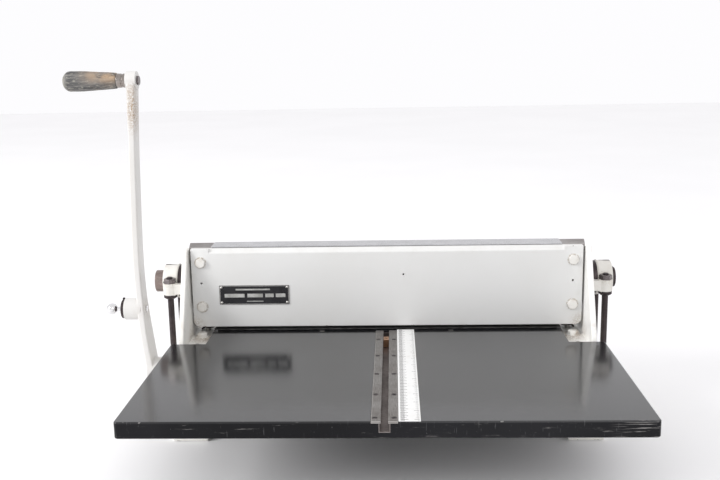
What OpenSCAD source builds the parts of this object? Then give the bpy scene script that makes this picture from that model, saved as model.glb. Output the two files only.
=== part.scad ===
// Bench-top lever press that punches a row of holes through paper.
// X runs along the ram, Y runs away from the operator, Z runs up.
// The origin is on the bench, midway between the four foot bolts; the eccentric
// shaft, the pull rods' middle plane and the ram's trunnions lie in the plane Y = 0.

/* [Table] */
// Width of the table board
table_w = 602; // [560:1:720]
// Thickness of the table board
table_t = 20; // [16:1:24]
// Height of the table's top face above the bench
table_z = 120; // [116:1:150]
// Distance from the shaft plane forward to the table's front edge
table_front = 374.6; // [320:1:460]
// Distance from the shaft plane forward to the rear edge of the table's side wings
wing_rear = 99; // [96:1:120]
// Radius on the board's outer corners
board_corner = 5; // [2:1:12]
// Width of the slot between the two steel strips
slot_w = 8; // [6:0.5:12]
// Width of each steel strip
strip_w = 11; // [9:0.5:14]
// Thickness of each steel strip
strip_t = 2.5; // [2:0.5:4]
// Screws in each strip
strip_screws_n = 5; // [3:1:7]
// Width of the scale rule
rule_w = 24.5; // [18:0.5:32]
// Thickness of the scale rule
rule_t = 0.6; // [0.4:0.1:1.5]
// Depth of the steel channel below the table's top face
channel_depth = 12; // [10:0.5:15]
// Length of the brass gauge slider
slider_len = 15; // [10:1:30]

/* [Side frames] */
// Clear width between the two uprights
clear_w = 568; // [520:1:640]
// Thickness of an upright's web
web_t = 8; // [7:0.5:12]
// Height of the uprights' top above the table
upright_rise = 122; // [112:1:150]
// Depth of an upright at its foot
upright_foot_d = 184; // [150:1:190]
// Thickness of the crown bar that ties the uprights' tops
crown_t = 10; // [8:1:14]
// Depth of the crown bar, front to back
crown_d = 36; // [28:1:44]
// Width of the upright's foot flange
flange_w = 38; // [34:1:44]
// Thickness of the upright's foot flange
flange_t = 10; // [8:1:14]
// Length of each foot pad, front to back
foot_len = 314; // [280:1:380]
// Width of each foot pad
foot_w = 48; // [40:1:60]
// Thickness of each foot pad
foot_t = 12; // [9:1:13]
// Hole-to-hole distance of the bench bolts across the machine
bench_x = 534; // [500:1:560]
// Hole-to-hole distance of the bench bolts, front to back
bench_y = 260; // [220:1:280]
// Diameter of a bench bolt hole
bench_hole_d = 11; // [9:0.5:13]

/* [Ram] */
// Width of the white face plate
face_w = 562.6; // [500:0.1:566]
// Height of the white face plate
face_h = 116.2; // [105:0.1:116.5]
// Thickness of the white face plate
face_t = 10; // [8:1:14]
// Gap under the raised face plate
paper_gap = 5; // [4.8:0.1:8]
// Travel of the ram
stroke = 4.5; // [3:0.1:4.6]
// Height of the trunnions above the table
trunnion_rise = 66.5; // [60:0.5:76]
// Diameter of a trunnion
trunnion_d = 24; // [18:1:28]
// Diameter of a punch
punch_d = 5; // [3:0.5:6]
// Distance between punches
punch_pitch = 20; // [12:1:40]
// Number of punches
punch_n = 23; // [9:2:25]

/* [Yokes and rods] */
// Distance from the middle of the machine to the pull rods
rod_x = 314.7; // [310:0.1:350]
// Distance between the front and the rear pull rod of one side
rod_spread = 60; // [58:1:70]
// Diameter of a pull rod
rod_d = 9; // [8:0.5:10]
// Diameter of a yoke's boss
yoke_d = 50; // [44:1:56]
// Width of a yoke's boss
yoke_w = 20.5; // [16:0.5:24]

/* [Shaft and lever] */
// Height of the eccentric shaft above the bench
shaft_z = 45; // [43:0.5:48]
// Diameter of the eccentric shaft
shaft_d = 25; // [20:1:28]
// Diameter of an eccentric
eccentric_d = 40; // [36:1:44]
// Angle that the lever swings through
lever_swing = 90; // [70:1:100]
// Angle that the raised lever leans back
lever_lean = 5; // [3:1:12]
// Distance from the shaft to the grip's axis
lever_reach = 437; // [380:1:480]
// Thickness of the lever's blade
blade_t = 10.4; // [9:0.1:14]
// Depth of the blade over most of its length
blade_d = 26; // [22:1:32]
// Depth of the blade near its hub
blade_low_d = 38; // [32:1:44]
// Distance from the machine's middle to the blade where it bows out furthest
blade_x = 372; // [366:1:400]
// How far the blade's lower end curves in towards the frame
bow_low = 17.5; // [8:0.5:20]
// How far the blade's upper end curves in towards the frame
bow_top = 3; // [0:0.5:8]
// Length of the wooden grip
grip_len = 81; // [70:1:120]
// Largest diameter of the wooden grip
grip_d = 29; // [24:0.5:34]
// Diameter of the grip where it meets its ferrule
grip_neck_d = 23; // [20:0.5:26]
// Distance from the shaft to the plunger along the lever
latch_s = 96.5; // [90:0.5:140]
// Travel of the plunger
latch_travel = 8; // [5:1:9]

/* [Fits] */
// Radial clearance of a running fit
run_clear = 0.05; // [0.02:0.01:0.1]
// Gap between parts that move past each other
move_gap = 0.5; // [0.3:0.1:1]
// Gap between parts that are screwed together side by side
seat_gap = 0.3; // [0.1:0.1:0.5]

/* [Hidden] */
$fn = 48;

// Side frame
frame_in = clear_w / 2;
frame_out = frame_in + web_t;
foot_in = frame_out - foot_w - 1;
board_under = table_z - table_t;
leg_flange_t = 10;
leg_flange_z = board_under - leg_flange_t;
leg_flange_in = frame_in - 69;
leg_flange_front = 86;
leg_web_t = 12;
leg_web_out = frame_in;
leg_web_in = leg_web_out - leg_web_t;
upright_top = table_z + upright_rise;
flange_top = board_under + flange_t;
flange_in = frame_out - flange_w;
foot_bolt_x = frame_in - 14;
foot_bolt_front = -34;
foot_bolt_rear = 50;
foot_bolt_d = 8;
bolt_af = 13;
bolt_head = 6;
dowel_y = 70;
dowel_d = 5;
tie_y = 52;
tie_z = table_z + 30;
tie_d = 14;
base_tie_y = 105;
base_tie_z = 36;

// Shaft and its bushes
bush_wall = 3.5;
bush_d = shaft_d + 2 * bush_wall;
bush_flange_d = bush_d + 8;
boss_d = bush_d + 16;
boss_in = frame_in - 20;
bush_flange_t = 2.5;
shaft_run_d = shaft_d + 2 * run_clear;

// Eccentric drive: the crank swings evenly about its level position
throw = stroke / (2 * sin(lever_swing / 2));
crank_rest = 180 - lever_swing / 2;
strap_y = -throw * (1 + cos(lever_swing / 2)) / 2;
strap_z = shaft_z + stroke / 2;
strap_play = throw * (1 - cos(lever_swing / 2)) / 2 + 0.15;
strap_bore_d = eccentric_d + 2 * strap_play;
eccentric_w = 24;
eccentric_in = rod_x - eccentric_w / 2;
eccentric_out = rod_x + eccentric_w / 2;
strap_w = 22;
strap_lug_h = 22;
key_w = 6;

// Ram
ram_bottom = table_z + paper_gap;
face_front = -35;
face_back = face_front + face_t;
face_top = ram_bottom + face_h;
beam_w = clear_w - 3;
beam_bottom = table_z + 30;
crown_top = upright_top - 0.5;
crown_bottom = crown_top - crown_t;
crown_rib_h = 10;
crown_rib_front = -8;
crown_front = face_back + seat_gap;
crown_rear = crown_front + crown_d;
beam_step = crown_bottom - crown_rib_h - 0.6;
beam_top = crown_bottom - 0.6;
trunnion_z = table_z + trunnion_rise;
trunnion_in = frame_in - 44;
beam_rear = trunnion_d / 2 + 12;
trunnion_seat = 3;
collar_d = yoke_d - 1;
collar_in = frame_out + 1;
yoke_in = rod_x + 2.05 - yoke_w / 2;
yoke_out = yoke_in + yoke_w;
trunnion_out = yoke_out + trunnion_seat;
lug_h = 17;
lug_z = trunnion_z - 13;
lug_r = 10;
rod_y = rod_spread / 2;
nut_af = 16;
nut_h = 7;
rod_collar_h = 6;
face_bolt_x = face_w / 2 - 14;
face_bolt_top = face_top - 20;
face_bolt_low = ram_bottom + 30.5;
top_plate_w = face_w - 57;
top_plate_t = 1.7;
plate_w = 101.5;
plate_h = 28.5;
plate_x = -face_w / 2 + 90.5;
plate_z = ram_bottom + 48;
plate_t = 1;

// Punches and die
die_t = 8;
die_w = clear_w - 62;
die_front = 31.5;
bed_top = table_z - die_t;
bed_bottom = shaft_z + shaft_d / 2 + 2.5;
stripper_gap = 2.8;
stripper_t = 7;
stripper_w = die_w - 6;
stripper_z = table_z + stripper_gap;
holder_bottom = stripper_z + stripper_t + stroke + 0.7;
punch_tip = stripper_z + 0.2;
punch_run_d = punch_d + 0.2;
spring_x = frame_in - 16;
spring_r = 9;
spring_wire = 3;

// Table slot
channel_in = slot_w / 2 + 1.5;
channel_wall = 1;
strip_out = slot_w / 2 + strip_w;
tongue_w = 2 * (flange_in - 1.5);
tongue_rear = -die_front - seat_gap - 0.7;
slot_end = -42;
slider_y = -84;
rule_in = strip_out + 0.5;
screw_head_d = 6;
table_screw_x = [93, 223];
arm_w = 30;
arm_front = table_front - 62;
arm_h = 22;

// Lever and its fittings, in the lever's own frame with Z along the blade
bow_s = 195;
head_t = 15.5;
head_r = 13.5;
flare_s = lever_reach - 90;
hub_in = eccentric_out + 6.5;
hub_out = blade_x - bow_low + blade_t / 2 + 0.5;
hub_r = 21.5;
washer_r = 16;
washer_t = 3;
shaft_end = hub_out - washer_t - bolt_head - 0.5;
head_x = blade_x - bow_top + 0.5;
latch_r = 16.5;
latch_face = latch_x(latch_s) + 26;
chamber_r = 9;
chamber_floor = latch_x(latch_s) + 4.2;
pin_r = 5;
stem_r = 3.5;
shoulder_r = 8.5;
shoulder_t = 4;
cap_r = 14.3;
cap_t = 5;
ball_r = 8.7;
ferrule_len = 13.3;
spindle_r = 5;
grip_start = head_x + head_t / 2 + 0.6;
grip_bore = spindle_r + run_clear;
spindle_seat = latch_x(lever_reach) - head_t / 2 - 0.05;

// Distance of the blade's centre line from the machine's middle, at a distance s from the shaft
function latch_x(s) = blade_x - (s < bow_s
    ? bow_low * pow((bow_s - s) / bow_s, 2)
    : bow_top * pow((s - bow_s) / (lever_reach - bow_s), 2));

// Thickness of the blade at a distance s from the shaft
function blade_thick(s) = s < flare_s
    ? blade_t
    : blade_t + (head_t - blade_t) * (s - flare_s) / (lever_reach - flare_s);

// ---------------------------------------------------------------- shared shapes

// Rod along X from x0 to x1
module x_rod(x0, x1, r) {
    translate([x0, 0, 0]) rotate([0, 90, 0]) cylinder(h = x1 - x0, r = r);
}

// Box from one corner to the opposite one
module block(from, to) {
    translate(from) cube(to - from);
}

// Plate whose outline lies in Y and Z, from x0 to x1
module side_plate(x0, x1, outline) {
    translate([x0, 0, 0]) rotate([90, 0, 90]) linear_extrude(height = x1 - x0) polygon(outline);
}

// Hexagon of the given width across flats, standing on Z
module hex(af, h) {
    cylinder(h = h, d = af / cos(30), $fn = 6);
}

// Hexagon-head screw with its head's underside at the origin and its shank below
module hex_screw(af, head, d, length) {
    union() {
        hex(af, head);
        translate([0, 0, -length]) cylinder(h = length + 0.1, d = d);
    }
}

// Countersunk screw, top face at the origin, with a straight slot
module flat_screw(head_d, d, length, slot = 0.8) {
    difference() {
        union() {
            translate([0, 0, -head_d / 4]) cylinder(h = head_d / 4, d1 = d, d2 = head_d);
            translate([0, 0, -length]) cylinder(h = length - head_d / 4 + 0.01, d = d);
        }
        translate([-head_d, -slot / 2, -slot]) cube([2 * head_d, slot, 2 * slot]);
    }
}

// Hole for a countersunk screw, a little larger all round
module flat_screw_hole(head_d, d, length) {
    translate([0, 0, -head_d / 4 - 0.1]) cylinder(h = head_d / 4 + 0.11, d1 = d + 0.2, d2 = head_d + 0.2);
    translate([0, 0, -length - 0.5]) cylinder(h = length + 0.6, d = d + 0.2);
}

// Copies on the left and on the right side
module both_sides() {
    children();
    mirror([1, 0, 0]) children();
}

// Helical spring standing on Z, swept as one closed tube
module coil(r, wire, turns, height, per_turn = 18, sides = 8) {
    steps = turns * per_turn;
    climb = height - wire;
    points = [
        for (i = [0:steps], j = [0:sides - 1])
            let (a = 360 * i / per_turn, b = 360 * j / sides, q = r + wire / 2 * cos(b))
            [q * cos(a), q * sin(a), wire / 2 + climb * i / steps + wire / 2 * sin(b)]
    ];
    walls = [
        for (i = [0:steps - 1], j = [0:sides - 1])
            let (k = (j + 1) % sides)
            [i * sides + j, i * sides + k, (i + 1) * sides + k, (i + 1) * sides + j]
    ];
    first = [for (j = [sides - 1:-1:0]) j];
    last = [for (j = [0:sides - 1]) steps * sides + j];
    polyhedron(points = points, faces = concat(walls, [first], [last]), convexity = 10);
}

// Places its children in the lever's own frame: the shaft's axis is X, the blade runs up Z
module lever_frame() {
    translate([0, 0, shaft_z]) rotate([-lever_lean, 0, 0]) children();
}

// ---------------------------------------------------------------- base

// Cast leg of the right side: foot pad, web, top flange and shaft boss
module leg_shape() {
    difference() {
        union() {
            block([foot_in, -foot_len / 2, 0], [foot_in + foot_w, foot_len / 2, foot_t]);
            side_plate(leg_web_in, leg_web_out, [
                [-foot_len / 2 + 22, foot_t - 0.1], [foot_len / 2 - 22, foot_t - 0.1],
                [leg_flange_front - 6, leg_flange_z + 0.1], [-leg_flange_front + 6, leg_flange_z + 0.1]
            ]);
            block([leg_flange_in, -leg_flange_front, leg_flange_z],
                [frame_out, leg_flange_front, board_under]);
            translate([0, 0, shaft_z]) x_rod(boss_in, frame_out, boss_d / 2);
        }
        translate([0, 0, shaft_z]) x_rod(boss_in - 1, frame_out + 1, bush_d / 2);
        for (y = [-bench_y / 2, bench_y / 2])
            translate([bench_x / 2, y, -1]) cylinder(h = foot_t + 2, d = bench_hole_d);
        for (y = [foot_bolt_front, foot_bolt_rear])
            translate([foot_bolt_x, y, leg_flange_z - 1])
                cylinder(h = leg_flange_t + 2, d = foot_bolt_d + 0.4);
        for (y = [-20, 20])
            translate([leg_flange_in + 19, y, leg_flange_z - 1])
                cylinder(h = leg_flange_t + 2, d = foot_bolt_d + 0.4);
        for (y = [-dowel_y, dowel_y])
            translate([foot_bolt_x, y, leg_flange_z - 1])
                cylinder(h = leg_flange_t + 2, d = dowel_d);
        translate([table_screw_x[1], slot_end - 1, leg_flange_z - 1])
            cylinder(h = leg_flange_t + 2, d = 4.4);
        for (y = [-base_tie_y, base_tie_y])
            translate([0, y, base_tie_z]) x_rod(leg_web_in - 1, leg_web_out + 1, 5.2);
    }
}

module leg_right() {
    color("ivory") leg_shape();
}

// The left leg also carries the two stop pins
module leg_left() {
    color("ivory") difference() {
        mirror([1, 0, 0]) leg_shape();
        stop_pin_places() x_rod(-leg_web_out - 1, -leg_web_in + 1, stop_pin_d / 2);
    }
}

// Round cross bar between the legs, turned down at both ends
module base_tie(y) {
    translate([0, y, base_tie_z]) {
        x_rod(-leg_web_in, leg_web_in, 9);
        both_sides() {
            x_rod(leg_web_in - 0.5, leg_web_out + 9, 5);
            translate([leg_web_out, 0, 0]) rotate([0, 90, 0]) difference() {
                hex(nut_af, 7);
                translate([0, 0, -1]) cylinder(h = 9, r = 4.9);
            }
        }
    }
}

module base_ties() {
    color("dimgray") for (y = [-base_tie_y, base_tie_y]) base_tie(y);
}

// Bronze bushes pressed into the leg bosses, with a flange outside
module shaft_bushes() {
    color("peru") both_sides() translate([0, 0, shaft_z]) difference() {
        union() {
            x_rod(boss_in, frame_out + 0.1, bush_d / 2);
            x_rod(frame_out, frame_out + bush_flange_t, bush_flange_d / 2);
        }
        x_rod(boss_in - 1, frame_out + bush_flange_t + 1, shaft_run_d / 2);
    }
}

// The stop collar's lug and the pins that it meets at each end of the swing
stop_in = boss_in - 18;
stop_out = boss_in - 2;
lug_top_r = 36;
lug_half = 5;
stop_pin_d = 10;
stop_pin_r = 29;
stop_lag = asin((lug_half + stop_pin_d / 2 + seat_gap) / stop_pin_r);
lug_rest = -lever_swing / 2;

module stop_pin_places() {
    for (a = [lug_rest - stop_lag, lug_rest + lever_swing + stop_lag])
        translate([0, stop_pin_r * cos(a), shaft_z + stop_pin_r * sin(a)]) children();
}

module stop_pins() {
    color("silver") stop_pin_places() x_rod(-leg_web_out, -stop_in - 0.5, stop_pin_d / 2);
}

// ---------------------------------------------------------------- bed, die and stripper

// Cast bed between the legs with a chip slot and lugs that rest on the leg flanges
module die_bed() {
    slot_half = punch_pitch * (punch_n - 1) / 2 + 8;
    color("dimgray") difference() {
        union() {
            block([-leg_flange_in + seat_gap, -die_front, bed_bottom],
                [leg_flange_in - seat_gap, die_front, bed_top]);
            block([-die_w / 2, -die_front, board_under], [die_w / 2, die_front, bed_top]);
        }
        block([-min(slot_half, leg_flange_in - 12), -6, bed_bottom - 1],
            [min(slot_half, leg_flange_in - 12), 6, bed_top - 6]);
        both_sides() for (y = [-20, 20]) translate([leg_flange_in + 19, y, 0]) {
            translate([0, 0, board_under - 1]) cylinder(h = 20, d = foot_bolt_d + 0.4);
            translate([0, 0, bed_top - 6.2]) cylinder(h = 10, d = 14);
        }
        for (i = [0:punch_n - 1]) translate([(i - (punch_n - 1) / 2) * punch_pitch, 0, bed_top - 7])
            cylinder(h = 9, d = punch_d + 2);
        both_sides() translate([table_screw_x[0], -die_front, bed_top - 10 - arm_h / 2])
            rotate([-90, 0, 0]) translate([0, 0, -1]) cylinder(h = 20, d = 6.4);
    }
}

// Cap screws that hold the bed down on the leg flanges
module bed_bolts() {
    color("dimgray") both_sides() for (y = [-20, 20])
        translate([leg_flange_in + 19, y, bed_top - 6]) {
            cylinder(h = 5.8, d = 13);
            translate([0, 0, -bed_top + 6.1 + leg_flange_z]) cylinder(h = bed_top - 6 - leg_flange_z, d = 8);
        }
}

// Row of positions along the die
module punch_row() {
    for (i = [0:punch_n - 1])
        translate([(i - (punch_n - 1) / 2) * punch_pitch, 0, 0]) children();
}

// Where the stripper is screwed down
module stripper_screw_places() {
    both_sides() for (y = [-13, 13]) translate([stripper_w / 2 - 5, y, 0]) children();
}

module die_plate() {
    color("silver") difference() {
        block([-die_w / 2, -die_front, bed_top], [die_w / 2, die_front, table_z]);
        punch_row() translate([0, 0, bed_top - 1]) cylinder(h = die_t + 2, d = punch_run_d);
        stripper_screw_places() translate([0, 0, bed_top - 1]) cylinder(h = die_t + 2, d = 4);
    }
}

// Guide and stripper plate, raised on a foot at each end to leave the paper's throat
module stripper_plate() {
    foot = 12;
    color("gray") difference() {
        union() {
            block([-stripper_w / 2, -21, stripper_z], [stripper_w / 2, 21, stripper_z + stripper_t]);
            both_sides() block([stripper_w / 2 - foot, -21, table_z], [stripper_w / 2, 21, stripper_z + 0.1]);
        }
        punch_row() translate([0, 0, stripper_z - 1]) cylinder(h = stripper_t + 2, d = punch_run_d);
        stripper_screw_places() translate([0, 0, table_z - 1]) cylinder(h = 20, d = 4.4);
        stripper_screw_places() translate([0, 0, stripper_z + stripper_t - 3]) cylinder(h = 4, d = 7.4);
    }
}

module stripper_screws() {
    color("silver") stripper_screw_places() {
        translate([0, 0, bed_top + 1]) cylinder(h = stripper_z + stripper_t - bed_top - 4, d = 3.9);
        translate([0, 0, stripper_z + stripper_t - 2.9]) cylinder(h = 2.8, d = 7);
    }
}

// ---------------------------------------------------------------- uprights

// Cast upright of the right side: sloping web, foot flange and the trunnion's slot
module upright_shape() {
    slot_d = trunnion_d + 2 * move_gap;
    half_foot = upright_foot_d / 2;
    knee = table_z + 4;
    shelf = crown_bottom - 0.05;
    difference() {
        union() {
            side_plate(frame_in, frame_out, [
                [-half_foot, board_under], [half_foot, board_under], [half_foot, knee],
                [crown_rear + 3, shelf], [crown_front - 0.2, shelf], [crown_front - 0.2, upright_top],
                [face_front - 4, upright_top], [-half_foot, knee]
            ]);
            block([flange_in, -leg_flange_front + 2, board_under],
                [frame_in + 0.1, leg_flange_front - 2, flange_top]);
        }
        for (drop = [-move_gap, stroke + move_gap]) translate([0, 0, trunnion_z - drop])
            x_rod(frame_in - 1, frame_out + 1, slot_d / 2);
        block([frame_in - 1, -slot_d / 2, trunnion_z - stroke - move_gap],
            [frame_out + 1, slot_d / 2, trunnion_z + move_gap]);
        for (y = [foot_bolt_front, foot_bolt_rear]) translate([foot_bolt_x, y, board_under - 1])
            cylinder(h = flange_t + 2, d = foot_bolt_d + 0.4);
        for (y = [-dowel_y, dowel_y]) translate([foot_bolt_x, y, board_under - 1])
            cylinder(h = flange_t + 2, d = dowel_d);
        translate([spring_x, 0, board_under - 1]) cylinder(h = flange_t + 2, d = 8);
        translate([0, tie_y, tie_z]) x_rod(frame_in - 1, frame_out + 1, 5.2);
        crown_screw_place() flat_screw_hole(10, 5, 24);
    }
}

// The countersunk screw that holds the crown bar's rib, seen along its own axis
module crown_screw_place() {
    translate([frame_out, (crown_rib_front + crown_rear) / 2, crown_bottom - crown_rib_h / 2])
        rotate([0, 90, 0]) children();
}

module upright_right() {
    color("ivory") upright_shape();
}

module upright_left() {
    color("ivory") mirror([1, 0, 0]) upright_shape();
}

module foot_bolts() {
    color("ivory") both_sides() for (y = [foot_bolt_front, foot_bolt_rear])
        translate([foot_bolt_x, y, flange_top]) hex_screw(bolt_af, bolt_head, foot_bolt_d, 19);
}

module foot_dowels() {
    color("gray") both_sides() for (y = [-dowel_y, dowel_y])
        translate([foot_bolt_x, y, leg_flange_z + 1])
            cylinder(h = flange_top - leg_flange_z - 0.5, d = dowel_d);
}

// Bare steel bar across the uprights' tops, with a rib between them
module crown_bar() {
    color("rosybrown") difference() {
        union() {
            block([-frame_out + 1, crown_front, crown_bottom], [frame_out - 1, crown_rear, crown_top]);
            block([-frame_in + 0.05, crown_rib_front, crown_bottom - crown_rib_h],
                [frame_in - 0.05, crown_rear, crown_bottom + 0.1]);
        }
        both_sides() crown_screw_place() flat_screw_hole(10, 5, 24);
    }
}

module crown_screws() {
    color("silver") both_sides() crown_screw_place() translate([0, 0, -0.1]) flat_screw(10, 5, 24);
}

// Round tie between the uprights behind the ram
module tie_rod() {
    color("dimgray") translate([0, tie_y, tie_z]) {
        x_rod(-frame_in, frame_in, tie_d / 2);
        x_rod(-frame_out - 10, frame_out + 10, 5);
    }
}

module tie_rod_nuts() {
    color("dimgray") both_sides() translate([frame_out, tie_y, tie_z]) rotate([0, 90, 0]) difference() {
        hex(nut_af, 8);
        translate([0, 0, -1]) cylinder(h = 10, r = 5);
    }
}

// Springs that lift the ram, standing on the upright flanges
module return_springs() {
    color("gray") both_sides() translate([spring_x, 0, flange_top])
        coil(spring_r, spring_wire, 5, beam_bottom - flange_top - 0.05);
}

module spring_pins() {
    color("silver") both_sides() translate([spring_x, 0, board_under + 0.5])
        cylinder(h = flange_t + 22, d = 8);
}

// ---------------------------------------------------------------- table

// Outline of the board: side wings in front of the uprights and a tongue between them
module board_outline() {
    hull() for (x = [-1, 1], y = [-table_front + board_corner, -wing_rear - board_corner])
        translate([x * (table_w / 2 - board_corner), y]) circle(r = board_corner);
    translate([-tongue_w / 2, -wing_rear - 20]) square([tongue_w, wing_rear + 20 + tongue_rear]);
}

module table_board() {
    color([0.13, 0.13, 0.14]) difference() {
        translate([0, 0, board_under]) linear_extrude(height = table_t) board_outline();
        block([-strip_out - 0.2, -table_front - 1, table_z - strip_t],
            [strip_out + 0.2, slot_end, table_z + 1]);
        block([-channel_in - channel_wall, -table_front - 1, table_z - channel_depth - channel_wall],
            [channel_in + channel_wall, slot_end, table_z]);
        strip_screw_places() translate([0, 0, table_z]) flat_screw_hole(screw_head_d, 3, 10);
        both_sides() for (x = table_screw_x) translate([x, slot_end - 1, table_z])
            flat_screw_hole(8, 4, table_t + 1);
        both_sides() for (y = [-arm_front + 40, -190]) translate([table_screw_x[0], y, board_under - 1])
            cylinder(h = 13, d = 4.2);
    }
}

// Bracket that carries the board from the bed: a flat top, a rib and an end pad
module table_arm() {
    top_t = 6;
    pad_y = -die_front - seat_gap;
    difference() {
        union() {
            block([table_screw_x[0] - arm_w / 2, -arm_front, board_under - top_t],
                [table_screw_x[0] + arm_w / 2, pad_y, board_under - 0.05]);
            side_plate(table_screw_x[0] - 3, table_screw_x[0] + 3, [
                [-arm_front, board_under - top_t + 0.1], [pad_y, board_under - top_t + 0.1],
                [pad_y, bed_bottom], [pad_y - 25, bed_bottom], [-arm_front, board_under - top_t - 6]
            ]);
            block([table_screw_x[0] - arm_w / 2, pad_y - 8, bed_bottom],
                [table_screw_x[0] + arm_w / 2, pad_y, board_under - 0.05]);
        }
        translate([table_screw_x[0], 0, bed_top - 10 - arm_h / 2]) rotate([90, 0, 0])
            translate([0, 0, die_front - 1]) cylinder(h = 12, d = 6.4);
        for (y = [-arm_front + 40, -190, slot_end - 1]) translate([table_screw_x[0], y, board_under - 20])
            cylinder(h = 21, d = 4.4);
    }
}

module table_arms() {
    color("dimgray") both_sides() table_arm();
}

// Screws through the tongue, and wood screws up through the brackets
module table_screws() {
    color("silver") both_sides() {
        for (x = table_screw_x) translate([x, slot_end - 1, table_z - 0.05]) flat_screw(8, 4, table_t - 1);
        for (y = [-arm_front + 40, -190]) translate([table_screw_x[0], y, board_under - 6.1])
            cylinder(h = 17, d = 4);
    }
}

module strip_screw_places() {
    first = table_front - 11;
    last = -slot_end + 42;
    for (side = [-1, 1], i = [0:strip_screws_n - 1])
        translate([side * (slot_w / 2 + strip_w * 0.62),
            i * (first - last) / (strip_screws_n - 1) - first, 0])
            children();
}

// Steel channel let into the board under the slot
module slot_channel() {
    outer = channel_in + channel_wall - 0.1;
    color([0.35, 0.3, 0.28]) difference() {
        block([-outer, -table_front, table_z - channel_depth - channel_wall + 0.05],
            [outer, slot_end - 0.1, table_z - strip_t - 0.05]);
        block([-channel_in, -table_front - 1, table_z - channel_depth],
            [channel_in, slot_end - 2, table_z]);
    }
}

module slot_strip(side) {
    low = side > 0 ? slot_w / 2 : -strip_out;
    difference() {
        block([low, -table_front, table_z - strip_t + 0.02], [low + strip_w, slot_end - 0.2, table_z]);
        strip_screw_places() translate([0, 0, table_z]) flat_screw_hole(screw_head_d, 3, 10);
    }
}

module slot_strips() {
    color("silver") for (side = [-1, 1]) slot_strip(side);
}

module strip_screws() {
    color("silver") strip_screw_places() translate([0, 0, table_z - 0.1]) flat_screw(screw_head_d, 3, 10);
}

module scale_rule() {
    color("white") block([rule_in, -table_front, table_z + 0.02],
        [rule_in + rule_w, slot_end + 2, table_z + rule_t]);
}

// Brass T-nut of the gauge, running in the channel
module gauge_slider() {
    low = table_z - channel_depth + seat_gap;
    shoulder = table_z - strip_t - seat_gap;
    color("goldenrod") difference() {
        union() {
            block([-channel_in + seat_gap, slider_y, low],
                [channel_in - seat_gap, slider_y + slider_len, shoulder]);
            block([-slot_w / 2 + seat_gap, slider_y, shoulder - 0.1],
                [slot_w / 2 - seat_gap, slider_y + slider_len, table_z - 0.6]);
        }
        translate([0, slider_y + slider_len / 2, low + 2]) cylinder(h = channel_depth, d = 4);
    }
}

// ---------------------------------------------------------------- ram

// Cast beam behind the face plate, with a rib for the trunnions
module ram_beam() {
    color("dimgray") difference() {
        side_plate(-beam_w / 2, beam_w / 2, [
            [face_back, beam_bottom], [beam_rear - 6, beam_bottom], [beam_rear, trunnion_z - 20],
            [beam_rear, trunnion_z + 20], [beam_rear - 12, beam_step], [crown_rib_front - 0.8, beam_step],
            [crown_rib_front - 0.8, beam_top], [face_back, beam_top]
        ]);
        translate([0, 0, trunnion_z]) {
            x_rod(trunnion_in - 1, frame_in + 1, trunnion_d / 2);
            x_rod(-frame_in - 1, -trunnion_in + 1, trunnion_d / 2);
        }
        both_sides() for (z = [face_bolt_top, face_bolt_low]) translate([face_bolt_x, face_back - 1, z])
            rotate([-90, 0, 0]) cylinder(h = 15, d = 8);
    }
}

// White face plate: round lower corners, a softened top edge between flat end pads
module face_plate() {
    r = 9;
    bevel = 6;
    pad = 27;
    color("ivory") difference() {
        translate([0, face_back - 0.05, 0]) rotate([90, 0, 0]) linear_extrude(height = face_t - 0.05) {
            hull() for (x = [-1, 1]) translate([x * (face_w / 2 - r), ram_bottom + r]) circle(r = r);
            translate([-face_w / 2, ram_bottom + r]) square([face_w, face_h - r]);
        }
        side_plate(-face_w / 2 + pad, face_w / 2 - pad, [
            [face_front - 1, face_top - bevel - 1], [face_front + bevel + 1, face_top + 1],
            [face_front - 1, face_top + 1]
        ]);
        both_sides() for (z = [face_bolt_top, face_bolt_low]) translate([face_bolt_x, face_front - 1, z])
            rotate([-90, 0, 0]) cylinder(h = face_t + 2, d = 8.4);
        both_sides() translate([face_bolt_x, face_front - 1, trunnion_z + 4])
            rotate([-90, 0, 0]) cylinder(h = face_t + 2, d = 3);
        translate([25.6, face_front - 1, ram_bottom + 76.6]) rotate([-90, 0, 0]) cylinder(h = 6, d = 2.4);
    }
}

module face_bolts() {
    color("ivory") both_sides() for (z = [face_bolt_top, face_bolt_low])
        translate([face_bolt_x, face_front, z]) rotate([90, 0, 0]) hex_screw(bolt_af, 4.5, 7.9, face_t + 12);
}

// Black plate on top of the crown bar
module top_plate() {
    color([0.15, 0.15, 0.16]) block([-top_plate_w / 2, crown_front - 1.5, crown_top],
        [top_plate_w / 2, crown_rear - 4, crown_top + top_plate_t]);
}

module name_plate() {
    color([0.1, 0.1, 0.1]) difference() {
        block([plate_x - plate_w / 2, face_front - plate_t, plate_z - plate_h / 2],
            [plate_x + plate_w / 2, face_front, plate_z + plate_h / 2]);
        rivet_places() rotate([90, 0, 0]) translate([0, 0, -1]) cylinder(h = 4, d = 2.6);
    }
}

module rivet_places() {
    for (x = [-1, 1], z = [-1, 1])
        translate([plate_x + x * (plate_w / 2 - 3), face_front, plate_z + z * (plate_h / 2 - 3)]) children();
}

module plate_rivets() {
    color("silver") rivet_places() rotate([90, 0, 0]) {
        cylinder(h = 1.1, d = 2.5);
        translate([0, 0, 1]) cylinder(h = 0.7, d1 = 4, d2 = 2.6);
    }
}

// Bar that holds the punches' heads under the ram
module punch_holder() {
    color("gray") difference() {
        block([-stripper_w / 2, -15, holder_bottom], [stripper_w / 2, 15, beam_bottom - 0.02]);
        punch_row() translate([0, 0, holder_bottom - 1]) cylinder(h = 30, d = punch_d + 0.04);
    }
}

module punches() {
    color("silver") punch_row() translate([0, 0, punch_tip])
        cylinder(h = beam_bottom - punch_tip - 0.1, d = punch_d);
}

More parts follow.
